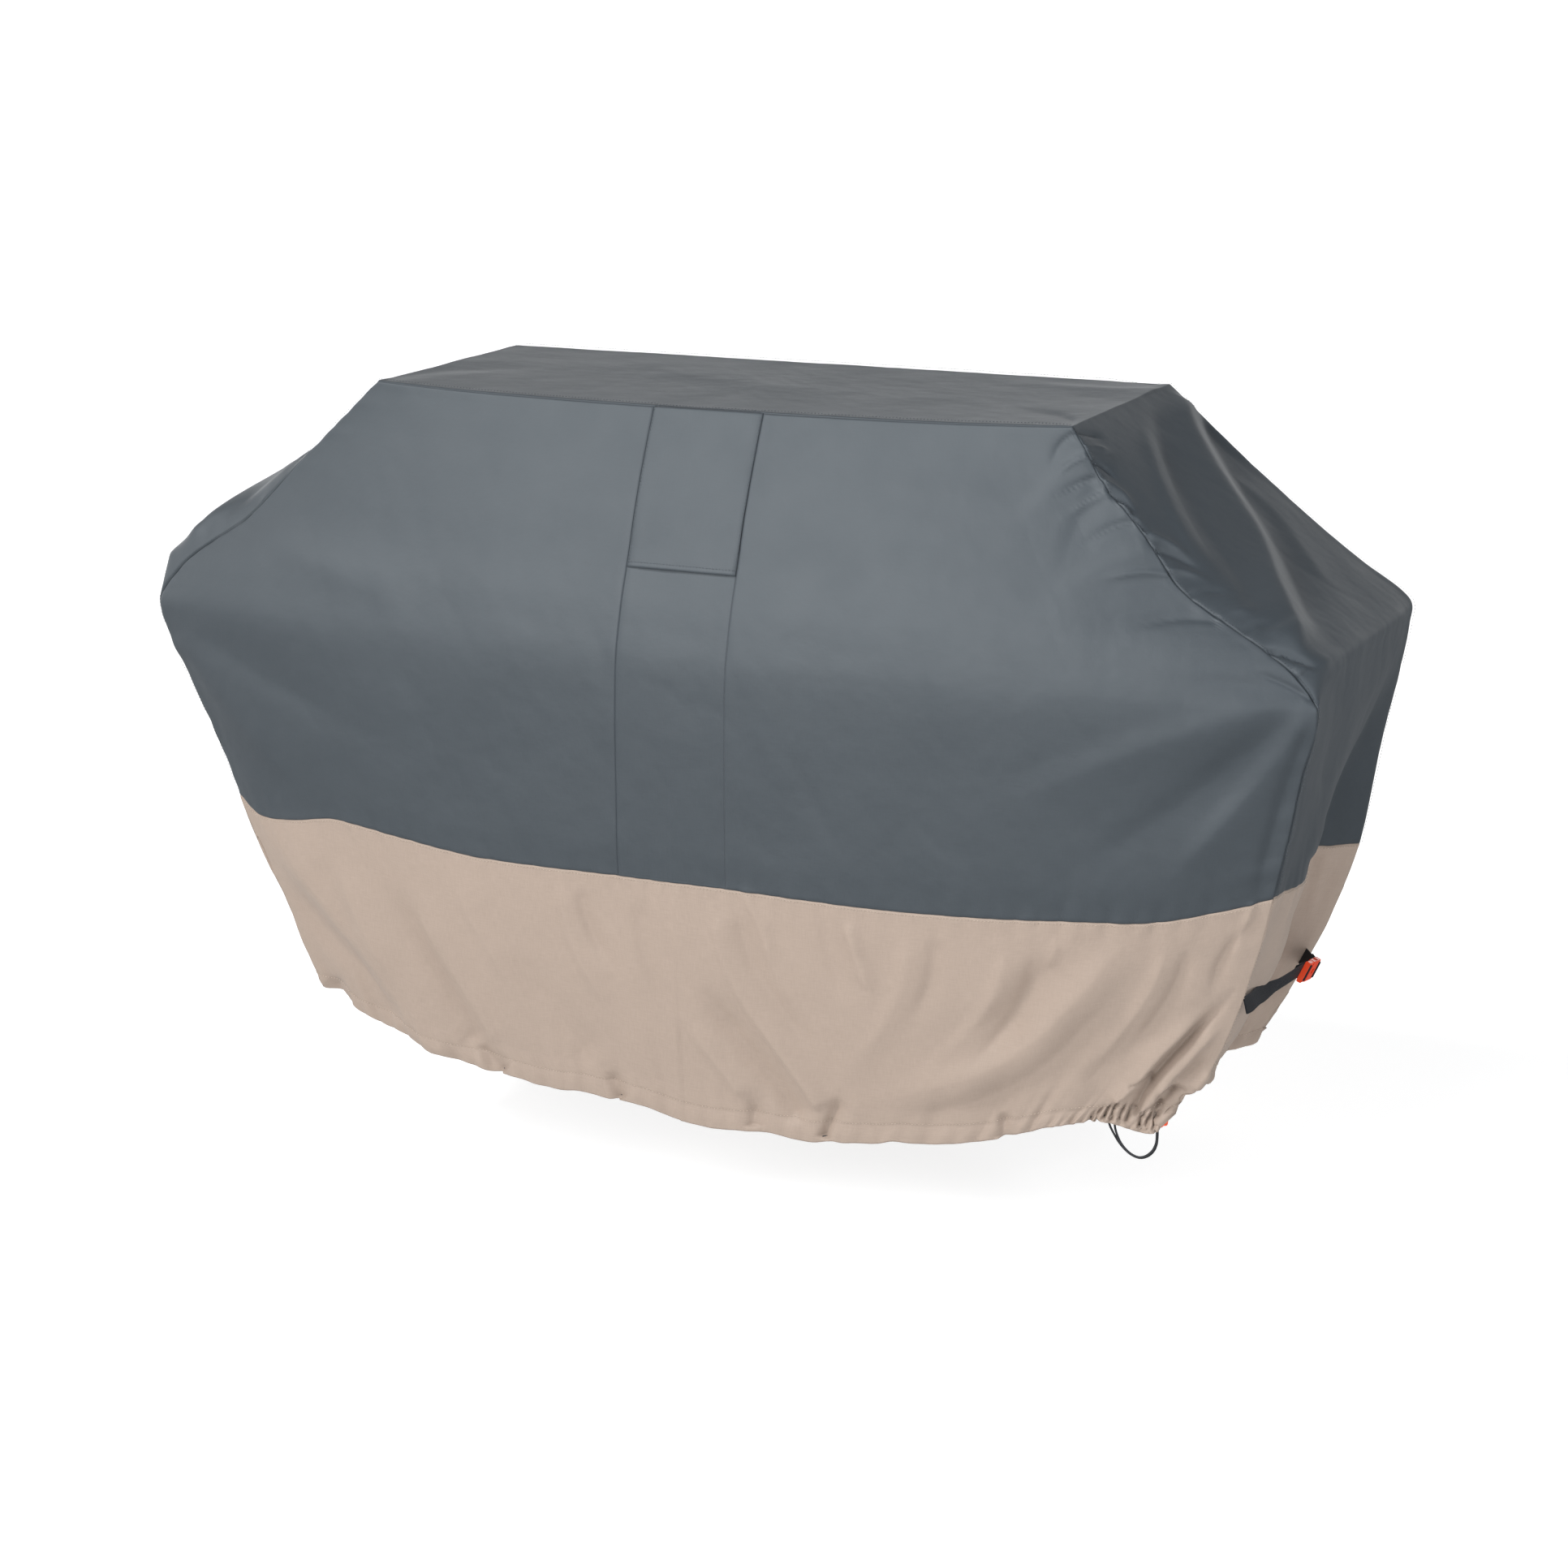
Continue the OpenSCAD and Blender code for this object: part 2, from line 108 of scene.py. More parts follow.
def noise(x, y, seed, octaves=3, rough=0.5):
    """Smooth value noise, about -1 to 1, the same at every run."""
    out, amp, total = 0.0, 1.0, 0.0
    for o in range(octaves):
        g = np.random.RandomState(seed * 31 + o).uniform(-1, 1, (64, 64))
        fx, fy = x * 2**o + 7.3 * o, y * 2**o + 3.1 * o
        ix, iy = np.floor(fx).astype(int), np.floor(fy).astype(int)
        qx, qy = fx - ix, fy - iy
        qx, qy = qx * qx * (3 - 2 * qx), qy * qy * (3 - 2 * qy)
        a, b = g[ix % 64, iy % 64], g[(ix + 1) % 64, iy % 64]
        c, d = g[ix % 64, (iy + 1) % 64], g[(ix + 1) % 64, (iy + 1) % 64]
        out = out + amp * (a + (b - a) * qx + (c - a) * qy + (a - b - c + d) * qx * qy)
        total += amp
        amp *= rough
    return out / total


# ---------------------------------------------------------- corner lines
FR = [(0, .511, -.208, .001), (.11, .536, -.212, -.036), (.19, .553, -.216, -.063),
      (.27, .579, -.222, -.090), (.345, .605, -.226, -.115), (.436, .632, -.231, -.146),
      (.57, .664, -.235, -.188), (.645, .700, -.239, -.213), (.73, .751, -.243, -.241),
      (.79, .788, -.246, -.262), (.876, .826, -.249, -.290), (1, .857, -.252, -.330),
      (1.36, .840, -.250, -.418), (1.67, .827, -.250, -.494), (2, .809, -.248, -.578),
      (2.2, .794, -.242, -.641), (2.38, .777, -.237, -.699), (2.49, .766, -.233, -.735),
      (2.7, .738, -.232, -.806), (2.83, .713, -.235, -.850), (3, .669, -.240, -.905)]
FL = [(0, -.508, -.208, .001), (.26, -.598, -.215, -.085), (.44, -.659, -.220, -.144),
      (.63, -.722, -.228, -.208), (.76, -.790, -.238, -.252), (.85, -.825, -.243, -.281),
      (1, -.860, -.250, -.332), (1.2, -.841, -.250, -.389), (1.69, -.777, -.250, -.523),
      (2, -.737, -.250, -.608), (2.33, -.694, -.250, -.705), (2.5, -.670, -.250, -.751),
      (2.83, -.634, -.245, -.848), (3, -.616, -.240, -.892)]
BR = [(0, .510, .208, .001), (.36, .634, .220, -.110), (.63, .724, .235, -.187),
      (.77, .787, .241, -.234), (.9, .850, .247, -.279), (1, .853, .247, -.312), (1.25, .841, .246, -.390),
      (1.5, .824, .245, -.476), (2, .798, .243, -.636), (2.35, .762, .240, -.748),
      (2.5, .740, .235, -.798), (2.75, .702, .225, -.878), (3, .668, .215, -.945)]


def e_fr(t): return curve(FR, t)
def e_fl(t): return curve(FL, t)
def e_br(t): return curve(BR, t)


TUCK = [(0, 0), (1, 0), (1.5, .020), (2, .052), (2.5, .058), (3, .048)]


def e_bl(t):
    p = curve(BR, t) * [-1, 1, 1]
    p[..., 0] += curve(TUCK, t)[..., 0]
    return p


def full(t):
    u = 1 - (1 - np.minimum(t / 1.35, 1)) ** 2
    return u - .25 * clamp(t - 1.85) ** 1.3 * .92


def zmid(t): return np.interp(t, [0, 1, 2, 3], [-.004, -.330, -.632, -.985])


# the height of the front hem along the length
HEM = [(-.62, -.892), (-.54, -.908), (-.455, -.924), (-.39, -.941), (-.323, -.956), (-.258, -.961), (-.16, -.964),
       (-.067, -.970), (.021, -.984), (.10, -.985), (.192, -.983), (.311, -.969), (.40, -.957), (.461, -.945),
       (.551, -.916), (.596, -.911), (.64, -.916), (.669, -.908)]


STRIP = 0.1          # the strip's edges, as a share of the front's half


def front_x(s, t):
    l, r = e_fl(t)[..., 0], e_fr(t)[..., 0]
    hw = .080
    a = mix(-hw, l, (-s - STRIP) / (1 - STRIP))
    b = mix(hw, r, (s - STRIP) / (1 - STRIP))
    return np.where(s < -STRIP, a, np.where(s > STRIP, b, s / STRIP * hw))


# how far the colour seam wanders from its mean line, along the front
SEAM_DZ = [(-.74, 0), (-.69, -.020), (-.62, -.006), (-.54, .018), (-.44, .012), (-.30, -.002),
           (-.1, .0), (.1, .0), (.28, -.004), (.46, -.003), (.56, -.004), (.66, -.012), (.74, -.006), (.82, 0)]


def front(s, t):
    l, r = e_fl(t), e_fr(t)
    x = front_x(s, t)
    sn = np.where(x < 0, -x / l[..., 0], x / r[..., 0])
    q = (s + 1) / 2
    ye = mix(l[..., 1], r[..., 1], q)
    a = np.abs(sn)
    swell = 1 - a**4
    y = ye - (.088 * full(t) + .008 * np.sin(np.pi * clamp(t - 2))) * swell
    ze = np.where(sn < 0, l[..., 2], r[..., 2])
    zp = 4 - 1.6 * clamp(t - 2)
    z = mix(zmid(t), ze, a**zp)
    z = z + curve(SEAM_DZ, x)[..., 0] * bump((t - 2) / .35) * .8
    hem = curve(HEM, x)[..., 0]
    base3 = mix(-.985, np.where(sn < 0, -.892, -.905), a**2.4)
    z = z + (hem - base3) * clamp(t - 2) ** 1.5
    # the top edge hangs a little between its ends
    z = z - .004 * (1 - sn**2) * clamp(1 - t * 8)
    return np.stack([x, y, z], -1)


def back(s, t):
    l, r = e_bl(t), e_br(t)
    x = mix(l[..., 0], r[..., 0], (s + 1) / 2)
    a = np.abs(s)
    y = mix(l[..., 1], r[..., 1], (s + 1) / 2) + (.020 * full(t) + .006 * np.sin(np.pi * clamp(t - 2))) * (1 - a**4)
    ze = np.where(s < 0, l[..., 2], r[..., 2])
    z = mix(np.interp(t, [0, 1, 2, 3], [.001, -.330, -.640, -.990]), ze, a ** (4 - 1.6 * clamp(t - 2)))
    return np.stack([x, y, z], -1)


EDGE = [(1, .5), (1.2, .40), (1.45, .12), (1.7, -.16), (2, -.34), (2.5, -.37), (3, -.37)]
VALLEY = [(1, .80), (1.3, .74), (2, .74), (3, .72)]
DEPTH = [(0, 0), (1.05, 0), (1.3, .006), (1.6, .026), (2, .054), (2.5, .058), (3, .050)]


def pleat(k, t, deep=1.0):
    """How far the side is drawn in behind its front part, and how far that
    moves it along y. The back part turns to face forwards."""
    ke = curve(EDGE, t)[..., 0]
    kv = curve(VALLEY, t)[..., 0]
    d = curve(DEPTH, t)[..., 0] * deep
    q = clamp((k - ke) / (kv - ke))
    down = q ** 1.15 * (1.06 - .06 * q)
    up = 1 - smooth((k - kv) / (1 - kv) * .96) ** .9
    prof = np.where(k < kv, down, up)
    out = .10 * bump((k - ke + .12) / .20)
    return d * (prof - out), -.010 * bump((k - kv) / .12) * clamp(d / .04)


SIDE_HEM = [(-1, 0), (-.85, .022), (-.6, .040), (-.2, .012), (.3, -.016), (.65, -.022), (1, 0)]


def side(k, t, right=True):
    f = e_fr(t) if right else e_fl(t)
    b = e_br(t) if right else e_bl(t)
    q = ((k + 1) / 2)[..., None]
    low = mix(f, b, q)
    c = b.copy()
    p = np.interp(t, [0, .3, .6, .85, 1, 1.2], [2.5, 3.0, 4.5, 12, 12, 5] if right else [6, 7, 9, 14, 14, 6])
    w = np.where(k < 0, np.abs(k) ** p, 0)[..., None]
    high = c + w * (f - c)
    high[..., 1] = low[..., 1]
    if not right:
        # the strip stands up a little behind the front seam, as far as the corner
        swell = .021 * smooth((t - .30) / .25) * (1 - smooth((t - 1.0) / .22))
        swell = swell * np.where(k < 0, 1 - np.abs(k) ** p, 1 - np.abs(k) ** 4)
        high[..., 2] += swell
        high[..., 0] -= .3 * swell
    g = smooth((t - .97) / .33)[..., None]
    out = mix(high, low, g)
    d, dy = pleat(k, t, 1.0 if right else .7)
    out[..., 0] += (-d if right else d)
    out[..., 1] += dy
    # the drawcord pulls the hem up beside the front corner
    out[..., 2] += curve(SIDE_HEM, k)[..., 0] * clamp(t - 2) ** 1.6 * (1.0 if right else .7)
    return out


def top(s, k):
    """s along the length, k from front (-1) to back (1)."""
    t0 = np.zeros_like(s)
    f, b = front(s, t0), back(s, t0)
    q = ((k + 1) / 2)[..., None]
    p = mix(f, b, q)
    p[..., 0] = mix(front_x(s, t0), b[..., 0], q[..., 0])
    return p


# ------------------------------------------------------------------ grids
class Cover:
    """The cover's faces as grids over shared vertices."""

    def __init__(self, S, T, K):
        self.S, self.T, self.K = S, T, K
        ns, nt, nk = len(S), len(T), len(K)
        # ring columns: front left to right, right side front to back, back
        # right to left, left side back to front; corners are shared
        self.nf, self.nk = ns, nk
        self.ring = 2 * (ns - 1) + 2 * (nk - 1)
        fs, ft = np.meshgrid(S, T)
        ks, kt = np.meshgrid(K, T)
        F, B = front(fs, ft), back(fs, ft)
        R, L = side(ks, kt, True), side(ks, kt, False)
        for X, i, E in ((R, 0, e_fr(T)), (R, -1, e_br(T)), (L, 0, e_fl(T)), (L, -1, e_bl(T))):
            X[:, i] = E
        # the back and front share their corner lines with the sides
        F[:, 0], F[:, -1] = L[:, 0], R[:, 0]
        B[:, 0], B[:, -1] = L[:, -1], R[:, -1]
        W = np.concatenate([F[:, :-1], R[:, :-1], B[:, :0:-1], L[:, :0:-1]], 1)
        ts, tk = np.meshgrid(S, K)
        P = top(ts, tk)
        P[0], P[-1] = F[0], B[0]
        P[:, 0], P[:, -1] = L[0], R[0]
        self.nw = W.shape[0] * W.shape[1]
        self.wall = np.arange(self.nw).reshape(W.shape[:2])
        self.top = np.full(P.shape[:2], -1)
        self.top[0] = self.face("F")[0]
        self.top[-1] = self.face("B")[0]
        self.top[:, 0] = self.face("L")[0]
        self.top[:, -1] = self.face("R")[0]
        inner = (nk - 2) * (ns - 2)
        self.top[1:-1, 1:-1] = self.nw + np.arange(inner).reshape(nk - 2, ns - 2)
        self.v = np.concatenate([W.reshape(-1, 3), P[1:-1, 1:-1].reshape(-1, 3)])

    def face(self, name):
        """The grid of vertex numbers of one face, seen from outside with
        rows going down and columns to the right, except L and B, whose
        columns run with K and S."""
        ns, nk, w = self.nf, self.nk, self.wall
        if name == "T":
            return self.top
        a, b, c = ns - 1, ns - 1 + nk - 1, 2 * (ns - 1) + nk - 1
        if name == "F":
            return w[:, :ns]
        if name == "R":
            return w[:, a:a + nk]
        if name == "B":
            return w[:, b:b + ns][:, ::-1]
        if name == "L":
            return np.concatenate([w[:, c:], w[:, :1]], 1)[:, ::-1]

    def quads(self, grid, flip=False):
        a, b, c, d = grid[:-1, :-1], grid[:-1, 1:], grid[1:, 1:], grid[1:, :-1]
        q = np.stack([a, d, c, b], -1).reshape(-1, 4)
        return q[:, ::-1] if flip else q

    def all_quads(self):
        return np.concatenate([
            self.quads(self.face("F")), self.quads(self.face("R")),
            self.quads(self.face("B"), True), self.quads(self.face("L"), True),
            self.quads(self.face("T"), True)])

    def normals(self, v=None):
        v = self.v if v is None else v
        q = self.all_quads()
        n = np.cross(v[q[:, 2]] - v[q[:, 0]], v[q[:, 3]] - v[q[:, 1]])
        out = np.zeros_like(v)
        for i in range(4):
            np.add.at(out, q[:, i], n)
        return out / np.maximum(np.linalg.norm(out, axis=1), 1e-12)[:, None]

# ------------------------------------------------------- camera and cords
def make_camera():
    data = bpy.data.cameras.new("camera")
    data.lens, data.sensor_width, data.sensor_fit = 75.82, 36.0, "HORIZONTAL"
    data.clip_start, data.clip_end = 0.1, 400
    cam = bpy.data.objects.new("camera", data)
    bpy.context.scene.collection.objects.link(cam)
    m = Matrix([[RGT[i], UPW[i], -FWD[i]] for i in range(3)]).to_4x4()
    m.translation = Vector(CAM)
    cam.matrix_world = m
    bpy.context.scene.camera = cam


def spline(points, steps):
    """Catmull-Rom through given points, as the CAD draws it."""
    p = np.array(points, float)
    out = []
    for i in range(len(p) - 1):
        a, b = p[max(i - 1, 0)], p[i]
        c, d = p[i + 1], p[min(i + 2, len(p) - 1)]
        for k in range(steps):
            q = k / steps
            out.append(0.5 * (2 * b + (c - a) * q + (2 * a - 5 * b + 4 * c - d) * q * q
                              + (3 * b - a - 3 * c + d) * q**3))
    return np.array(out + [p[-1]])


OUTER = [(661, -237.1, -894.6), (661, -237.1, -906), (661, -237.1, -918),
         (661, -237.1, -930), (660, -237.1, -940), (656, -237.4, -950),
         (648, -238.2, -958), (638, -239.4, -961), (628, -241, -958),
         (619, -243, -951), (611, -245.5, -941), (605, -248, -930),
         (600.5, -250.5, -920), (598, -252.5, -911.5)]
INNER = [(661, -240.9, -894.6), (661, -240.9, -906), (661, -240.9, -918),
         (661, -240.9, -930), (659.6, -240.9, -939), (655, -241.2, -948.5),
         (647, -242, -956), (638, -243.2, -958.6), (629, -244.8, -955.6),
         (621, -246.6, -949), (614.4, -248.6, -940), (610, -250.4, -930),
         (607.4, -252.2, -920), (606.4, -253.6, -909.8)]
CORD_D = 0.003


def collect(obj):
    bpy.context.scene.collection.objects.link(obj)
    return obj


def tube_mesh(name, path, radius, sides=12, closed=False, uv_scale=1.0):
    """A round tube along a path, with UVs in metres along and around it."""
    p = np.asarray(path, float)
    n = len(p)
    if closed:
        d = np.roll(p, -1, 0) - np.roll(p, 1, 0)
    else:
        d = np.gradient(p, axis=0)
    d /= np.linalg.norm(d, axis=1)[:, None]
    side = np.zeros_like(p)
    ref = np.array([0, 1.0, 0]) if abs(d[0][1]) < .9 else np.array([1.0, 0, 0])
    for i in range(n):
        ref = ref - d[i] * (ref @ d[i])
        ref /= np.linalg.norm(ref)
        side[i] = ref
    up = np.cross(d, side)
    a = np.linspace(0, 2 * math.pi, sides, endpoint=False)
    ring = (p[:, None] + radius * (np.cos(a)[None, :, None] * side[:, None]
                                   + np.sin(a)[None, :, None] * up[:, None]))
    verts = ring.reshape(-1, 3)
    step = np.linalg.norm(np.diff(p, axis=0), axis=1)
    run = np.concatenate([[0], np.cumsum(step)])
    quads, uvs = [], []
    for i in range(n if closed else n - 1):
        j = (i + 1) % n
        for k in range(sides):
            m = (k + 1) % sides
            quads.append((i * sides + k, i * sides + m, j * sides + m, j * sides + k))
            r1 = run[i + 1] if i + 1 < n else run[i] + step[0]
            w = 2 * math.pi * radius / sides
            uvs += [(run[i], k * w), (run[i], (k + 1) * w), (r1, (k + 1) * w), (r1, k * w)]
    me = bpy.data.meshes.new(name)
    faces = list(quads)
    if not closed:
        faces.append(tuple(range(sides))[::-1])
        faces.append(tuple((n - 1) * sides + k for k in range(sides)))
        uvs += [(0, 0)] * (2 * sides)
    me.from_pydata(verts.tolist(), [], faces)
    layer = me.uv_layers.new(name="UVMap")
    layer.data.foreach_set("uv", np.array(uvs, np.float32).ravel())
    me.polygons.foreach_set("use_smooth", [True] * len(me.polygons))
    me.update()
    return collect(bpy.data.objects.new(name, me))


def make_spring():
    """The lock's spring: a copy of the CAD's spring, in steel."""
    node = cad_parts["cord_lock_spring"]
    me = node.data.copy()
    me.name = "lock_spring"
    me.transform(node.matrix_world)
    me.materials.clear()
    me.materials.append(MATS["spring_steel"])
    obj = collect(bpy.data.objects.new("lock_spring", me))
    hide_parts("cord_lock_spring")
    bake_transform(obj)
    return obj


def make_cords():
    out = []
    hardware = [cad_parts["cord_lock_barrel"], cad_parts["cord_lock_plunger"], make_spring()]
    for name, pts, node in (("loop_strand_outer", OUTER, "cord_strand_outer"),
                            ("loop_strand_inner", INNER, "cord_strand_inner")):
        path = spline(pts, 6) / 1000
        obj = tube_mesh(name, path, CORD_D / 2, 12)
        obj.data.materials.append(MATS["cord"])
        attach(obj, "root")
        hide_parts(node)
        out.append(obj)
    return out


# ------------------------------------------------------------------ folds
# Each fold is a line in picture units over the camera-facing cloth, with its
# half width there, its height in millimetres (less than 0 is a valley), how
# fast it fades at its two ends, and "s" for a sharp crest.
FRONT_FOLDS = [
    # skirt, left end
    ([(322, 995), (338, 1019), (433, 1146), (528, 1276), (575, 1312)], 26, 9.5, .25, .10, ""),
    ([(345, 1070), (397, 1146), (457, 1209), (496, 1268)], 17, -6.0, .3, .15, ""),
    ([(455, 1070), (473, 1098), (508, 1161), (548, 1225), (591, 1296)], 16, -6.5, .3, .08, ""),
    ([(500, 1098), (540, 1170), (585, 1240), (612, 1290)], 14, 3.5, .3, .10, ""),
    ([(607, 1161), (674, 1240), (734, 1316)], 22, -5.0, .4, .15, ""),
    ([(583, 1288), (601, 1306), (619, 1325)], 9, -6.0, .3, .05, ""),
    ([(401, 1205), (409, 1225), (417, 1245)], 9, -8.0, .4, .05, ""),
    ([(300, 1010), (322, 1090), (352, 1160)], 13, -4.0, .3, .2, ""),
    ([(745, 1318), (757, 1340), (762, 1356)], 8, -6.0, .4, .05, ""),
    # skirt, middle
    ([(912, 1085), (918, 1103), (938, 1143), (954, 1198)], 8, 3.0, .3, .3, ""),
    ([(855, 1210), (910, 1285), (954, 1340), (986, 1388)], 15, -7.5, .35, .08, ""),
    ([(843, 1253), (899, 1325), (925, 1362)], 13, 4.5, .4, .2, ""),
    ([(925, 1240), (938, 1261), (993, 1340), (1012, 1372)], 12, 5.5, .4, .1, ""),
    ([(1033, 1350), (1022, 1380), (1012, 1404)], 8, -7.0, .4, .05, ""),
    ([(1049, 1139), (1057, 1198), (1088, 1222)], 12, 2.6, .35, .4, ""),
    ([(1010, 1120), (1025, 1190), (1050, 1250)], 14, -2.4, .3, .5, ""),
    ([(1306, 1151), (1298, 1175), (1290, 1198)], 10, 2.4, .4, .4, ""),
    ([(1390, 1160), (1373, 1178), (1294, 1261), (1215, 1317), (1057, 1364)], 27, 9.0, .2, .4, ""),
    ([(1395, 1200), (1330, 1275), (1245, 1342), (1110, 1383)], 20, -5.5, .3, .35, ""),
    ([(1330, 1165), (1240, 1245), (1150, 1300)], 24, -4.0, .3, .5, ""),
    ([(925, 1352), (926, 1372), (925, 1392)], 8, -5.0, .5, .05, ""),
    ([(1232, 1370), (1236, 1386), (1236, 1406)], 9, -6.0, .4, .05, ""),
    # skirt, by the cord lock
    ([(1560, 1125), (1540, 1140), (1506, 1182), (1491, 1231)], 9, -3.5, .3, .3, ""),
    ([(1412, 1240), (1380, 1290), (1330, 1345)], 20, -4.5, .4, .2, ""),
    # grey front
    ([(1622, 872), (1560, 955), (1490, 1035), (1425, 1105)], 24, 5.0, .12, .4, ""),
    ([(1606, 878), (1530, 935), (1430, 1010), (1300, 1085)], 30, -4.5, .12, .5, ""),
    ([(1588, 870), (1480, 900), (1340, 950), (1200, 1010)], 30, 4.0, .15, .5, ""),
    ([(1616, 890), (1585, 970), (1560, 1060), (1548, 1120)], 13, -4.0, .15, .3, ""),
    ([(1612, 862), (1540, 845), (1450, 838)], 16, -3.0, .1, .5, ""),
    ([(198, 745), (270, 800), (360, 855), (480, 925)], 26, -5.0, .15, .5, ""),
    ([(200, 760), (262, 840), (330, 925), (390, 985)], 24, 5.5, .15, .4, ""),
    ([(210, 790), (250, 880), (290, 965)], 14, -4.0, .2, .3, ""),
    ([(300, 650), (390, 690), (520, 760)], 30, 3.0, .2, .5, ""),
    ([(1345, 565), (1300, 600), (1240, 660)], 20, 3.0, .1, .6, ""),
    ([(1356, 590), (1330, 640), (1300, 720)], 18, -3.0, .1, .6, ""),
    ([(1423, 676), (1360, 700), (1280, 745)], 20, 3.0, .1, .6, ""),
    ([(1483, 749), (1410, 752), (1310, 775)], 16, -3.0, .1, .6, ""),
    ([(800, 700), (790, 900), (800, 1060)], 34, 2.6, .4, .4, ""),
    ([(985, 720), (1000, 900), (1010, 1060)], 34, -2.4, .4, .4, ""),
    ([(640, 520), (600, 700), (560, 900)], 60, 3.0, .4, .4, ""),
    ([(1120, 540), (1150, 760), (1200, 960)], 60, 3.0, .4, .4, ""),
]
FRONT_FOLDS += [
    ([(690, 1090), (702, 1150), (735, 1215), (770, 1260)], 12, 3.2, .15, .4, ""),
    ([(712, 1092), (728, 1150), (762, 1205)], 9, -3.2, .15, .4, ""),
    ([(785, 1105), (790, 1160), (812, 1220), (846, 1275)], 12, -3.0, .15, .4, ""),
    ([(880, 1120), (893, 1180), (925, 1245), (958, 1290)], 12, 3.6, .15, .3, ""),
    ([(905, 1120), (925, 1185), (965, 1250), (1010, 1310)], 11, -3.6, .15, .3, ""),
    ([(1040, 1135), (1068, 1205), (1072, 1235)], 9, 3.2, .15, .4, ""),
    ([(1120, 1150), (1110, 1215), (1080, 1275), (1040, 1325)], 15, 3.2, .2, .4, ""),
    ([(1150, 1152), (1146, 1210), (1120, 1268)], 12, -3.0, .2, .4, ""),
    ([(1240, 1165), (1225, 1225), (1190, 1275), (1140, 1320)], 14, 3.6, .2, .4, ""),
    ([(1275, 1170), (1262, 1230), (1225, 1285), (1180, 1330)], 13, -3.6, .2, .4, ""),
    ([(1440, 1165), (1420, 1215), (1385, 1270), (1345, 1320)], 13, 4.0, .2, .3, ""),
    ([(1466, 1165), (1450, 1212), (1420, 1262), (1390, 1300)], 11, -4.0, .2, .3, ""),
    ([(1545, 1110), (1530, 1150), (1515, 1190)], 8, 3.0, .1, .4, ""),
    ([(420, 1065), (446, 1125), (480, 1185), (512, 1225)], 13, 3.4, .2, .4, ""),
    ([(392, 1052), (418, 1112), (450, 1172)], 11, -3.2, .2, .4, ""),
    ([(560, 1078), (586, 1140), (628, 1205), (668, 1255)], 14, 3.4, .2, .4, ""),
]
# crumpled folds that run up from the hem at the cord lock, across the corner
LOCK_FOLDS = [
    ([(1396, 1376), (1416, 1338), (1441, 1308), (1462, 1286), (1479, 1267), (1500, 1246), (1520, 1222)], 6.5, -11.0, .04, .45, ""),
    ([(1370, 1362), (1393, 1340), (1425, 1303), (1452, 1276), (1490, 1240)], 8, 7.0, .06, .3, ""),
    ([(1408, 1376), (1430, 1342), (1458, 1312), (1482, 1284), (1505, 1262)], 9, 7.5, .05, .2, ""),
    ([(1424, 1370), (1446, 1342), (1470, 1320), (1496, 1290)], 7, -4.5, .1, .3, ""),
    ([(1388, 1340), (1404, 1334), (1420, 1330)], 3.4, -4.5, .2, .1, "r"),
    ([(1415, 1320), (1420, 1329), (1419, 1338)], 2.8, -4.0, .2, .2, "r"),
    ([(1425, 1356), (1438, 1345), (1464, 1344)], 3.6, -5.0, .15, .2, "r"),
    ([(1424, 1346), (1444, 1336), (1470, 1336)], 5.0, 3.5, .2, .3, ""),
    ([(1408, 1376), (1416, 1364), (1430, 1360)], 3.0, -5.5, .1, .2, "r"),
    ([(1424, 1380), (1425, 1366), (1434, 1357)], 3.0, -5.5, .1, .2, "r"),
    ([(1476, 1342), (1470, 1350), (1452, 1356)], 3.4, -6.0, .05, .2, "r"),
    ([(1470, 1352), (1478, 1336), (1494, 1316)], 5.0, 4.0, .05, .3, ""),
    # the hem's own small tufts
    ([(1341, 1388), (1345, 1378), (1352, 1368)], 2.6, -6.0, .02, .5, "r"),
    ([(1350, 1386), (1354, 1375), (1361, 1365)], 2.6, -7.5, .02, .5, "r"),
    ([(1360, 1384), (1364, 1372), (1372, 1360)], 2.8, -9.0, .02, .5, "r"),
    ([(1368, 1384), (1373, 1369), (1382, 1354)], 2.8, -9.0, .02, .5, "r"),
    ([(1378, 1384), (1383, 1371), (1390, 1358)], 2.6, -8.0, .02, .5, "r"),
    ([(1387, 1386), (1391, 1374), (1397, 1362)], 2.6, -8.5, .02, .5, "r"),
    ([(1404, 1387), (1407, 1375), (1413, 1363)], 2.8, -9.5, .02, .5, "r"),
    ([(1413, 1388), (1416, 1376), (1424, 1362)], 2.6, -8.5, .02, .5, "r"),
    ([(1422, 1388), (1426, 1376), (1433, 1364)], 2.8, -9.5, .02, .5, "r"),
    ([(1432, 1387), (1437, 1374), (1446, 1362)], 2.8, -8.0, .02, .5, "r"),
    ([(1443, 1382), (1448, 1370), (1458, 1358)], 2.8, -7.0, .02, .5, "r"),
    ([(1456, 1372), (1461, 1362), (1470, 1350)], 2.8, -7.0, .02, .5, "r"),
    ([(1468, 1362), (1472, 1352), (1480, 1342)], 2.8, -6.5, .02, .5, "r"),
    ([(1482, 1346), (1486, 1336), (1494, 1324)], 2.8, -5.0, .02, .5, "r"),
]
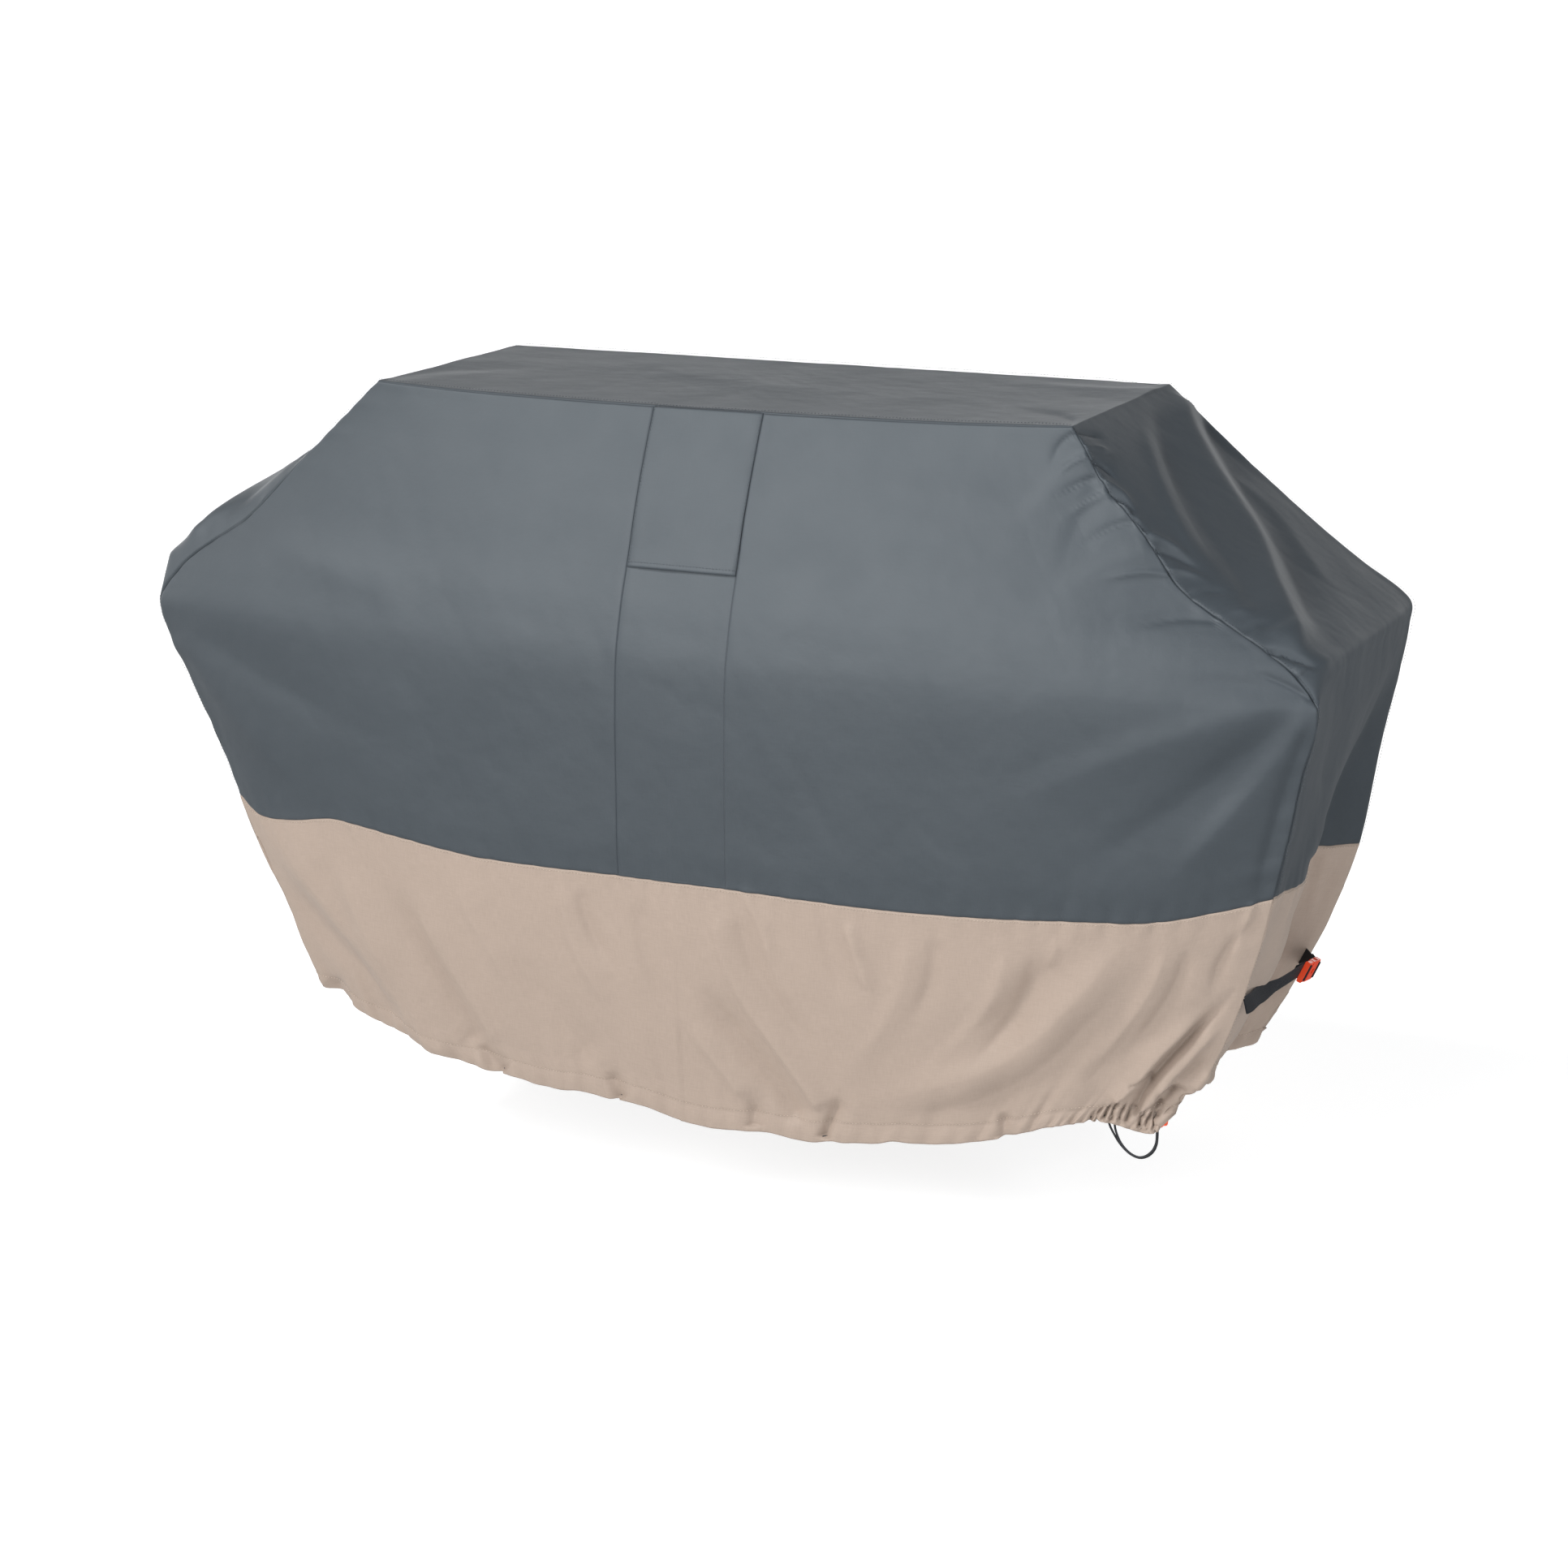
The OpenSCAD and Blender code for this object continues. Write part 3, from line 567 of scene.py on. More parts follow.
# the back part of the side, where its own hem is gathered
SIDE_FOLDS = [
    ([(1519, 1330), (1513, 1312), (1507, 1298)], 4.0, -6.0, .03, .4, "r"),
    ([(1530, 1330), (1525, 1314), (1516, 1300)], 3.6, -6.0, .03, .4, "r"),
    ([(1538, 1326), (1533, 1310), (1526, 1292)], 3.6, -5.0, .03, .4, "r"),
    ([(1508, 1326), (1504, 1312), (1503, 1300)], 3.2, -5.0, .03, .4, "r"),
    ([(1560, 1250), (1580, 1190), (1604, 1120), (1622, 1060)], 12, 4.0, .2, .2, ""),
    ([(1548, 1290), (1575, 1225), (1600, 1170)], 9, -3.5, .2, .4, ""),
    ([(1600, 1180), (1630, 1110), (1652, 1055)], 8, -3.0, .2, .3, ""),
    ([(1626, 1050), (1606, 1105), (1594, 1138), (1582, 1166)], 11, -7.0, .12, .35, ""),
    ([(1642, 1034), (1628, 1068), (1618, 1115), (1612, 1158)], 7, 4.5, .10, .35, ""),
]
# small tucks along the seam of the slope, on both its sides
SEAM_TUCKS = [
    ([(1322, 531), (1340, 534), (1362, 540)], 3.2, -3.2, .02, .4, "r"),
    ([(1336, 551), (1352, 552), (1370, 558)], 3.0, 2.6, .02, .4, "r"),
    ([(1346, 567), (1362, 576), (1376, 592)], 3.2, -3.6, .02, .4, "r"),
    ([(1357, 592), (1380, 606), (1402, 630)], 3.6, 3.0, .02, .4, "r"),
    ([(1366, 606), (1388, 622), (1404, 646)], 3.2, -3.6, .02, .4, "r"),
    ([(1380, 621), (1402, 640), (1412, 662)], 3.4, 3.0, .02, .4, "r"),
    ([(1392, 634), (1410, 652), (1420, 680)], 3.0, -3.0, .02, .4, "r"),
    ([(1410, 656), (1438, 668), (1470, 690)], 4.2, 3.0, .02, .4, "r"),
    ([(1424, 678), (1450, 686), (1484, 706)], 4.0, -3.2, .02, .4, "r"),
    ([(1440, 702), (1462, 704), (1490, 716)], 4.0, 2.4, .02, .4, "r"),
    ([(1466, 735), (1490, 728), (1520, 732)], 4.0, -2.6, .02, .4, "r"),
    ([(1500, 762), (1520, 752), (1548, 752)], 4.0, 2.4, .02, .4, "r"),
    ([(1530, 780), (1550, 770), (1576, 770)], 4.0, -2.8, .02, .4, "r"),
    ([(1322, 535), (1306, 548), (1294, 570)], 4.0, -2.0, .02, .5, "r"),
    ([(1340, 562), (1322, 570), (1296, 590)], 4.0, 2.2, .02, .5, "r"),
    ([(1352, 588), (1330, 596), (1300, 612)], 4.0, -2.2, .02, .5, "r"),
    ([(1364, 606), (1338, 620), (1310, 640)], 5.0, 2.2, .02, .5, "r"),
    ([(1396, 642), (1368, 650), (1330, 672)], 5.0, -2.0, .02, .5, "r"),
    ([(1440, 708), (1400, 706), (1350, 716)], 6.0, 2.2, .02, .5, "r"),
    ([(1500, 765), (1450, 762), (1390, 774)], 6.0, -2.2, .02, .5, "r"),
    ([(1560, 801), (1590, 808), (1622, 822)], 3.4, -6.5, .05, .05, "r"),
    ([(1598, 835), (1604, 822), (1622, 824)], 4.0, 3.0, .1, .1, ""),
    ([(1624, 868), (1590, 846), (1540, 826)], 6.0, -2.6, .02, .4, "r"),
]
SLOPE_FOLDS = [
    ([(1448, 478), (1464, 532), (1502, 599), (1541, 657), (1566, 721), (1592, 775), (1608, 807)], 23, 15.0, .10, .10, "s"),
    ([(1624, 820), (1680, 787), (1732, 751)], 9, 3.5, .08, .1, "s"),
    ([(1475, 500), (1530, 600), (1575, 670), (1606, 735), (1630, 795)], 20, -9.0, .1, .2, ""),
    ([(1420, 500), (1440, 560), (1475, 630), (1520, 700), (1560, 765)], 16, -5.0, .1, .2, ""),
    ([(1520, 575), (1531, 593), (1572, 631), (1608, 682), (1639, 721)], 11, 3.4, .2, .2, ""),
    ([(1400, 520), (1410, 536), (1426, 583), (1451, 644), (1483, 695)], 10, 3.2, .2, .3, ""),
    ([(1425, 530), (1445, 585), (1470, 640), (1505, 700)], 11, -3.2, .2, .3, ""),
    ([(1545, 795), (1570, 770), (1600, 765)], 9, -3.0, .3, .3, ""),
    ([(1564, 800), (1590, 808), (1620, 822)], 7, -3.5, .1, .1, ""),
    ([(1640, 560), (1670, 620), (1700, 690)], 18, 3.0, .3, .3, ""),
    ([(1722, 810), (1713, 832), (1678, 900), (1634, 1028)], 10, -5.0, .3, .1, ""),
    ([(1650, 830), (1645, 900), (1628, 990)], 14, -4.0, .2, .2, ""),
]
TOP_FOLDS = [
    ([(1438, 474), (1370, 462), (1270, 455), (1120, 447)], 5, -2.6, .08, .5, ""),
    ([(1436, 480), (1360, 480), (1250, 472)], 5, 2.2, .1, .5, ""),
    ([(1330, 520), (1300, 510), (1240, 503)], 5, -2.4, .1, .5, ""),
    ([(470, 465), (560, 455), (700, 452)], 6, -2.0, .1, .5, ""),
    ([(760, 440), (900, 470), (1050, 480)], 12, 2.0, .4, .4, ""),
]


def fold_field(px, folds):
    """The height of all these folds at each picture point, in metres."""
    out = np.zeros(len(px))
    for pts, width, height, fade_a, fade_b, kind in folds:
        p = np.array(pts, float)
        # a rounder line than its few points
        p = spline(p, 4)
        seg = np.diff(p, axis=0)
        ln = np.linalg.norm(seg, axis=1)
        run = np.concatenate([[0], np.cumsum(ln)])
        lo, hi = p.min(0) - 3.2 * width, p.max(0) + 3.2 * width
        near = np.where(np.all((px > lo) & (px < hi), axis=1))[0]
        if not len(near):
            continue
        q = px[near]
        best = np.full(len(q), 1e9)
        where = np.zeros(len(q))
        hand = np.ones(len(q))
        for i in range(len(seg)):
            f = ((q - p[i]) @ seg[i]) / ln[i] ** 2
            g = np.clip(f, 0, 1)
            d = np.linalg.norm(q - p[i] - g[:, None] * seg[i], axis=1)
            use = d < best
            best[use] = d[use]
            where[use] = ((run[i] + g * ln[i]) / run[-1])[use]
            turn = seg[i][0] * (q[:, 1] - p[i][1]) - seg[i][1] * (q[:, 0] - p[i][0])
            hand[use] = np.sign(turn)[use]
        # the height fades towards both ends, and the width opens as it fades
        ends = smooth(where / max(fade_a, 1e-3)) * smooth((1 - where) / max(fade_b, 1e-3))
        d = best / width
        if kind == "s":      # a crisp crest with long flanks
            prof = np.exp(-((d * d + .05) ** .5 - .05 ** .5) * 1.3)
        elif kind == "r":    # nearly crisp
            prof = np.exp(-(d * d + .04) ** .5 * 1.35 + .2 * 1.35)
        else:                # rounded, with one flank steeper than the other
            prof = np.exp(-(d / np.where(hand > 0, .70, 1.30)) ** 2 * .85 - np.abs(d) * .22)
        out[near] += height / 1000 * prof * (0.12 + 0.88 * ends) * np.where(
            (where <= 0) | (where >= 1), np.exp(-(best / width) ** 2), 1.0)
    return out


def hash01(i, seed):
    x = np.sin(i * 12.9898 + seed * 78.233) * 43758.5453
    return x - np.floor(x)


def gathers(u, away, pitch, seed, reach=(.05, .16)):
    """Rounded folds side by side along u, each dying out on its own way
    from the gathered edge. 0 in the valleys, up to 1 on the crests."""
    w = u / pitch + 0.42 * noise(u / pitch * .23, u * 0 + seed, seed, 2)
    i = np.floor(w)
    tall = .35 + .65 * hash01(i, seed)
    far = reach[0] + (reach[1] - reach[0]) * hash01(i, seed + 5) ** 1.6
    lean = (hash01(i, seed + 9) - .5) * .5
    q = np.clip(w - i + lean * np.clip(away / far, 0, 1) * 0, 0, 1)
    sharp = np.abs(np.sin(np.pi * q))
    prof = mix(sharp ** .8, sharp ** 2, np.clip(away / far * 1.4, 0, 1))
    return tall * prof * np.exp(-(away / far) ** 1.4)


# --------------------------------------------------------------- the cloth
def rows(*spans):
    """Grid lines through fixed values, about evenly spaced between them."""
    out = []
    for a, b, n in spans:
        out += list(np.linspace(a, b, n + 1)[:-1])
    return np.array(out + [spans[-1][1]])


FINE = 1.0


def n_of(n):
    return max(2, int(round(n * FINE)))


T_ROWS = rows((0, .02, 4), (.02, .22, n_of(22)), (.22, .56, n_of(36)), (.56, .64, n_of(8)), (.64, 1, n_of(38)),
              (1, 1.97, n_of(60)), (1.97, 2.03, 8), (2.03, 2.6, n_of(58)), (2.6, 2.915, n_of(54)), (2.915, 3, n_of(18)))
S_COLS = rows((-1, -.99, 4), (-.99, -STRIP - .01, n_of(175)), (-STRIP - .01, -STRIP + .012, 9),
              (-STRIP + .012, STRIP - .012, n_of(34)), (STRIP - .012, STRIP + .01, 9),
              (STRIP + .01, .6, n_of(90)), (.6, .78, n_of(48)), (.78, .985, n_of(104)), (.985, 1, 6))
K_COLS = rows((-1, -.97, 4), (-.97, .97, n_of(112)), (.97, 1, 4))


def make_cover():
    c = Cover(S_COLS, T_ROWS, K_COLS)
    v = c.v
    n = c.normals()
    px = project(v)
    disp = np.zeros(len(v))
    face = {f: c.face(f) for f in "FRBLT"}
    t_wall = np.repeat(T_ROWS[:, None], c.ring, 1)
    t = np.zeros(len(v))
    t[:c.nw] = t_wall.reshape(-1)
    # length along the hem's ring, in metres, and down the cloth
    ring = v[c.wall[-1]]
    step = np.linalg.norm(np.roll(ring, -1, 0) - ring, axis=1)
    along = np.concatenate([[0], np.cumsum(step)[:-1]])
    u = np.zeros(len(v))
    u[:c.nw] = np.repeat(along[None], len(T_ROWS), 0).reshape(-1)
    drop = np.zeros(c.wall.shape)
    d = np.linalg.norm(np.diff(v[c.wall], axis=0), axis=2)
    drop[1:] = np.cumsum(d, axis=0)
    to_hem, to_seam = np.full(len(v), 9.0), np.full(len(v), 9.0)
    i2 = int(np.argmin(np.abs(T_ROWS - 2)))
    to_hem[:c.nw] = (drop[-1][None] - drop).reshape(-1)
    to_seam[:c.nw] = np.abs(drop - drop[i2][None]).reshape(-1)

    on = {f: np.unique(face[f]) for f in face}
    disp[on["F"]] += fold_field(px[on["F"]], FRONT_FOLDS) * mix(1.0, 1.6, smooth((t[on["F"]] - 1.95) / .1))
    r = on["R"]
    edge = np.zeros(len(v))
    kk = np.repeat(K_COLS[None], len(T_ROWS), 0)
    edge[face["R"].reshape(-1)] = (1 - np.abs(kk)).reshape(-1)
    edge_l = np.zeros(len(v))
    edge_l[face["L"].reshape(-1)] = (1 - np.abs(kk)).reshape(-1)
    disp[r] += fold_field(px[r], SLOPE_FOLDS) * smooth(edge[r] * 7)
    both = np.union1d(on["F"], r)
    disp[both] += fold_field(px[both], LOCK_FOLDS) * 1.25 + fold_field(px[both], SEAM_TUCKS) * 1.5
    disp[r] += fold_field(px[r], SIDE_FOLDS)
    disp[on["T"]] += fold_field(px[on["T"]], TOP_FOLDS)
    # the faces turned away from the camera get folds of the same kind
    lf, bk = on["L"], on["B"]
    disp[lf] += fold_field(project(v[lf] * [-1, 1, 1]), SLOPE_FOLDS + SIDE_FOLDS) * .75 * smooth(edge_l[lf] * 7)
    disp[bk] += fold_field(project(v[bk] * [-1, -1, 1] + [0, 0, .004]), FRONT_FOLDS) * mix(.8, 1.3, smooth((t[bk] - 1.95) / .1))

    x, y, z = v.T
    # slow waves everywhere, long down the cloth and short across it
    side_face = np.zeros(len(v))
    side_face[on["R"]] = side_face[on["L"]] = 1
    across = np.where(side_face > 0, y, x)
    low = clamp(t, 0, 3)
    wave = noise(across * 4.6 + z * 1.3, z * 1.7 + 3, 3, 3)
    disp += wave * np.interp(low, [0, .2, 1, 2, 3], [.0, .0012, .0028, .0036, .0045])
    diag = noise(across * 7.0 + z * 6.0 * np.sign(x), z * 3.0 - across, 11, 2)
    disp += diag * np.interp(low, [0, 1, 2, 3], [.0003, .0008, .0015, .0026])
    crease = np.abs(noise(across * 9 + z * 5, z * 4.2 - across * 2, 33, 3))
    disp -= (.5 - crease) ** 2 * np.interp(low, [0, 1, 2, 3], [.0012, .0022, .0034, .0052])
    small = noise(across * 26 + z * 9, z * 14 + 1, 21, 3)
    disp += small * np.interp(low, [0, 1, 2, 3], [.00025, .00035, .00045, .0007])

    # the drawcord's gathers, strongest at the corner where the lock is
    # and at the two ends
    xs = [-.64, -.50, -.30, 0, .30, .45, .54, .60, .64, .68]
    amp_f = np.interp(x, xs, [.0100, .0080, .0066, .0056, .0060, .0060, .0080, .0080, .0080, .0080])
    amp_s = np.where(x > 0, .0110, .0100)
    amp_b = np.interp(x, [-.65, -.3, 0, .3, .66], [.007, .006, .0055, .006, .007])
    amp = np.zeros(len(v))
    amp[on["F"]] = amp_f[on["F"]]
    amp[on["B"]] = amp_b[on["B"]]
    amp[on["R"]] = amp_s[on["R"]]
    amp[on["L"]] = amp_s[on["L"]]
    skirt = clamp(t - 2) > 0
    fine = gathers(u, to_hem, .030, 41, (.018, .075))
    wide = gathers(u + .013, to_hem, .072, 47, (.06, .21))
    g = (fine * .62 + wide * .75) * amp * skirt
    tight = np.where((np.isin(np.arange(len(v)), on["F"])) & (x > .50), 1.0, 0.0) * smooth((x - .50) / .06)
    g += gathers(u, to_hem, .014, 53, (.012, .04)) * .0060 * tight * skirt
    disp += g - amp * .45 * np.exp(-(to_hem / .06) ** 2) * skirt

    # puckers where the sewn seams draw the cloth
    pk = gathers(u, to_seam, .026, 61, (.012, .045)) * .5 + gathers(u, to_seam, .055, 67, (.02, .075)) * .5
    below = clamp(t - 2) > 0
    disp += (pk - .25 * np.exp(-(to_seam / .03) ** 2)) * np.where(below, .0050, .0026) * (t > .9)
    # and along the corner seams
    for f, right in (("F", None), ("R", 1), ("L", -1), ("B", 0)):
        grid = face[f]
        p = v[grid]
        for col in (0, -1):
            line = p[:, col]
            run = np.concatenate([[0], np.cumsum(np.linalg.norm(np.diff(line, axis=0), axis=1))])
            away = np.linalg.norm(p - line[:, None], axis=2)
            uu = np.repeat(run[:, None], grid.shape[1], 1)
            q = gathers(uu, away, .034, 71 + ord(f) + col, (.014, .06)) * .6 \
                + gathers(uu, away, .075, 77 + ord(f) + col, (.03, .10)) * .6
            up = (t[grid] < 2.0)
            a = np.where(up, .0030, .0018) * (.35 if (f == "B" or (f in "RL" and col == -1)) else 1.0)
            half = .5 if f in "RLFB" else 1
            disp[grid.reshape(-1)] += ((q - .35 * np.exp(-(away / .03) ** 2)) * a * half).reshape(-1)

    # the sewn seams themselves: a narrow groove between two soft lips
    def groove(away, deep=.0022, lip=.0010, w=.0019):
        return -deep * np.exp(-(away / w) ** 2) + lip * np.exp(-((away - .010) / .006) ** 2)

    cut = np.zeros(len(v))

    def score(where, depth):
        cut[where] = np.where(np.abs(depth) > np.abs(cut[where]), depth, cut[where])

    score(np.arange(len(v)), groove(to_seam, .0007, .0) * (t > .9))
    for f in "FRLB":
        grid = face[f]
        upto = t[grid] <= 2.2
        for col in (0, -1):
            away = np.linalg.norm(v[grid] - v[grid[:, col]][:, None], axis=2)
            score(grid.reshape(-1), (groove(away, .0028, .0002, .0017) * upto).reshape(-1))
    tp = face["T"]
    for row in (0, -1):
        away = np.linalg.norm(v[tp] - v[tp[row]][None], axis=2)
        score(tp.reshape(-1), (groove(away, .0022, .0002, .0017)).reshape(-1))
        w = face["F" if row == 0 else "B"]
        away = np.linalg.norm(v[w] - v[w[0]][None], axis=2)
        score(w.reshape(-1), (groove(away, .0022, .0002, .0017)).reshape(-1))
    # the strip down the front is a little sunk along its two seams
    strip = np.abs(np.repeat(S_COLS[None], len(T_ROWS), 0))
    fx = front_x(np.repeat(S_COLS[None], len(T_ROWS), 0), t[face["F"]])
    away = np.abs(np.abs(fx) - .080)
    use = (t[face["F"]] < 2.0)
    score(face["F"].reshape(-1), (groove(away, .0011, .0003, .0018) * use).reshape(-1))
    disp += cut
    disp[face["F"].reshape(-1)] += (np.where(strip < STRIP, -.0010, 0) * use).reshape(-1)
    # the tunnel for the drawcord: a row of stitches draws the hem in
    disp += (groove(np.abs(to_hem - .027), .0004, .0001, .003) + .0012 * bump((to_hem - .012) / .010)) * (t > 2.5)

    # shared lines: keep the height that both faces agree on
    out = v + n * disp[:, None]
    # gathered cloth also rides up a little at each crest of the hem
    ripple = noise(u * 21, u * 0 + 2, 91, 2) * .0035 + noise(u * 7, u * 0 + 5, 93, 2) * .004
    out[:, 2] += (g * .50 + ripple * skirt) * np.exp(-(to_hem / .05) ** 2)
    # the tufted hem hangs in front of the cord lock
    cover = np.zeros(len(v))
    cover[both] = (bump((px[both, 0] - 1424) / 19) ** .8 * np.exp(-(to_hem[both] / .030) ** 2)
                   * (x[both] > .55) * (y[both] < -.15))
    out += cover[:, None] * np.array([.0035, -.0150, -.0055])
    return c, out, dict(t=t, u=u, to_hem=to_hem, to_seam=to_seam, face=face)


def final_normals(c, v):
    return c.normals(v)


# ------------------------------------------------------------------ pieces
def add_piece(name, verts, faces, mat, body="root", uvs=None, smooth_shade=True, nodes=()):
    me = bpy.data.meshes.new(name)
    me.from_pydata([tuple(p) for p in np.asarray(verts, float)], [], [tuple(int(i) for i in f) for f in faces])
    if uvs is not None:
        layer = me.uv_layers.new(name="UVMap")
        loops = np.empty(len(me.loops), np.int32)
        me.loops.foreach_get("vertex_index", loops)
        layer.data.foreach_set("uv", np.asarray(uvs, np.float32)[loops].ravel())
    me.polygons.foreach_set("use_smooth", [smooth_shade] * len(me.polygons))
    me.materials.append(mat)
    me.update()
    obj = collect(bpy.data.objects.new(name, me))
    if body:
        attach(obj, body)
    if nodes:
        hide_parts(*nodes)
    return obj


def grid_faces(r, c):
    i = np.arange(r * c).reshape(r, c)
    a, b, cc, d = i[:-1, :-1], i[:-1, 1:], i[1:, 1:], i[1:, :-1]
    return np.stack([a, d, cc, b], -1).reshape(-1, 4)


def cloth_panel(name, grid, v, n, mat, nodes, flip=False, lift=0.0, thick=.0011, uv_turn=False):
    """A closed sheet on a grid of the cover's points."""
    r, c = grid.shape
    p = v[grid]
    nn = n[grid]
    lift = np.broadcast_to(np.asarray(lift, float), (r, c))[..., None]
    outer, inner = p + nn * lift, p + nn * (lift - thick)
    f = grid_faces(r, c)
    k = r * c
    low = f[:, ::-1] + k
    if flip:
        f, low = f[:, ::-1], low[:, ::-1]
    i = np.arange(k).reshape(r, c)
    loop = np.concatenate([i[0, :-1], i[:-1, -1], i[-1, :0:-1], i[:0:-1, 0]])
    nxt = np.roll(loop, -1)
    rim = np.stack([loop, nxt, nxt + k, loop + k], -1)
    if flip:
        rim = rim[:, ::-1]
    mid = p[:, c // 2]
    down = np.concatenate([[0], np.cumsum(np.linalg.norm(np.diff(mid, axis=0), axis=1))])
    wide = np.zeros((r, c))
    wide[:, 1:] = np.cumsum(np.linalg.norm(np.diff(p, axis=1), axis=2), axis=1)
    wide -= wide[:, c // 2:c // 2 + 1]
    uv = np.stack([wide, np.repeat(down[:, None], c, 1)], -1).reshape(-1, 2)
    if uv_turn:
        uv = uv[:, ::-1]
    return add_piece(name, np.concatenate([outer.reshape(-1, 3), inner.reshape(-1, 3)]),
                     np.concatenate([f, low, rim]), mat, uvs=np.concatenate([uv, uv]), nodes=nodes)


def stitches(name, lines, mat, pitch=.0048, long=.0032, wide=.00085):
    """Rows of thread stitches; each line is (points, normals)."""
    verts, faces, uvs = [], [], []
    count = 0
    for pts, nrm in lines:
        step = np.linalg.norm(np.diff(pts, axis=0), axis=1)
        run = np.concatenate([[0], np.cumsum(step)])
        m = int(run[-1] / pitch)
        at = (np.arange(m) + .5) * pitch
        a = np.stack([np.interp(at - long / 2, run, pts[:, i]) for i in range(3)], -1)
        b = np.stack([np.interp(at + long / 2, run, pts[:, i]) for i in range(3)], -1)
        nn = np.stack([np.interp(at, run, nrm[:, i]) for i in range(3)], -1)
        nn /= np.linalg.norm(nn, axis=1)[:, None]
        d = b - a
        d /= np.maximum(np.linalg.norm(d, axis=1), 1e-9)[:, None]
        s = np.cross(d, nn)
        c = (a + b) / 2
        six = np.stack([a - nn * .0002, b - nn * .0002, c + s * wide / 2, c + nn * .0006 + s * wide * .2,
                        c + nn * .0006 - s * wide * .2, c - s * wide / 2], 1)
        base = count + np.arange(m)[:, None, None] * 6
        tri = np.array([[0, 2, 3], [0, 3, 4], [0, 4, 5], [1, 3, 2], [1, 4, 3], [1, 5, 4], [0, 5, 2], [1, 2, 5]])
        verts.append(six.reshape(-1, 3))
        faces.append((base + tri[None]).reshape(-1, 3))
        uvs.append(np.tile(np.array([[0, 0], [.003, 0], [.0015, 0], [.0015, .0005], [.0015, .0008], [.0015, .001]]), (m, 1)))
        count += m * 6
    return add_piece(name, np.concatenate(verts), np.concatenate(faces), mat,
                     uvs=np.concatenate(uvs), smooth_shade=True)


def beside(v, n, grid, row=None, col=None, step=1, far=.005, lift=.0002):
    """A line at a distance from one edge of a grid, on its surface."""
    g = grid if row is None else grid.T
    e = col if row is None else row
    p, q = v[g[:, e]], v[g[:, e + step]]
    d = q - p
    d /= np.maximum(np.linalg.norm(d, axis=1), 1e-9)[:, None]
    nn = n[g[:, e + step]]
    return p + d * far + nn * lift, nn


def ribbon(name, path, across, width, thick, mat, body="root", nodes=(), wave=0.0, closed=False):
    """A flat strap along a path; across is its width's direction at each
    point. Its edges are rounded."""
    p = np.asarray(path, float)
    w = np.asarray(across, float)
    w = w / np.linalg.norm(w, axis=1)[:, None]
    d = np.gradient(p, axis=0)
    d /= np.linalg.norm(d, axis=1)[:, None]
    up = np.cross(d, w)
    up /= np.linalg.norm(up, axis=1)[:, None]
    prof = []
    for s, h in ((-.5, 0), (-.485, .34), (-.45, .5), (-.2, .5), (0, .5), (.2, .5), (.45, .5), (.485, .34),
                 (.5, 0), (.485, -.34), (.45, -.5), (.2, -.5), (0, -.5), (-.2, -.5), (-.45, -.5), (-.485, -.34)):
        prof.append((s * width, h * thick))
    prof = np.array(prof)
    m = len(prof)
    run = np.concatenate([[0], np.cumsum(np.linalg.norm(np.diff(p, axis=0), axis=1))])
    ring = p[:, None] + prof[None, :, :1] * w[:, None] + prof[None, :, 1:] * up[:, None]
    if wave:
        ring += (up * (wave * np.sin(run * 41 + 1) * np.sin(run * 17))[:, None])[:, None]
    verts = ring.reshape(-1, 3)
    i = np.arange(len(p) * m).reshape(len(p), m)
    j = np.roll(i, -1, 1)
    faces = np.stack([i[:-1], i[1:], j[1:], j[:-1]], -1).reshape(-1, 4).tolist()
    faces += [list(range(m)), list(range((len(p) - 1) * m, len(p) * m))[::-1]]
    vol = 0
    pv = verts - verts.mean(0)
    for f in faces[:4000]:
        for k in range(1, len(f) - 1):
            vol += np.dot(pv[f[0]], np.cross(pv[f[k]], pv[f[k + 1]]))
    if vol < 0:
        faces = [f[::-1] for f in faces]
    uv = np.stack([np.repeat(prof[None, :, 0], len(p), 0), np.repeat(run[:, None], m, 1)], -1).reshape(-1, 2)
    return add_piece(name, verts, faces, mat, body=body, uvs=uv, nodes=nodes)


# --------------------------------------------------------------- materials
def srgb(r, g, b):
    f = lambda c: c / 12.92 if c <= 0.04045 else ((c + 0.055) / 1.055) ** 2.4
    return (f(r / 255), f(g / 255), f(b / 255), 1.0)


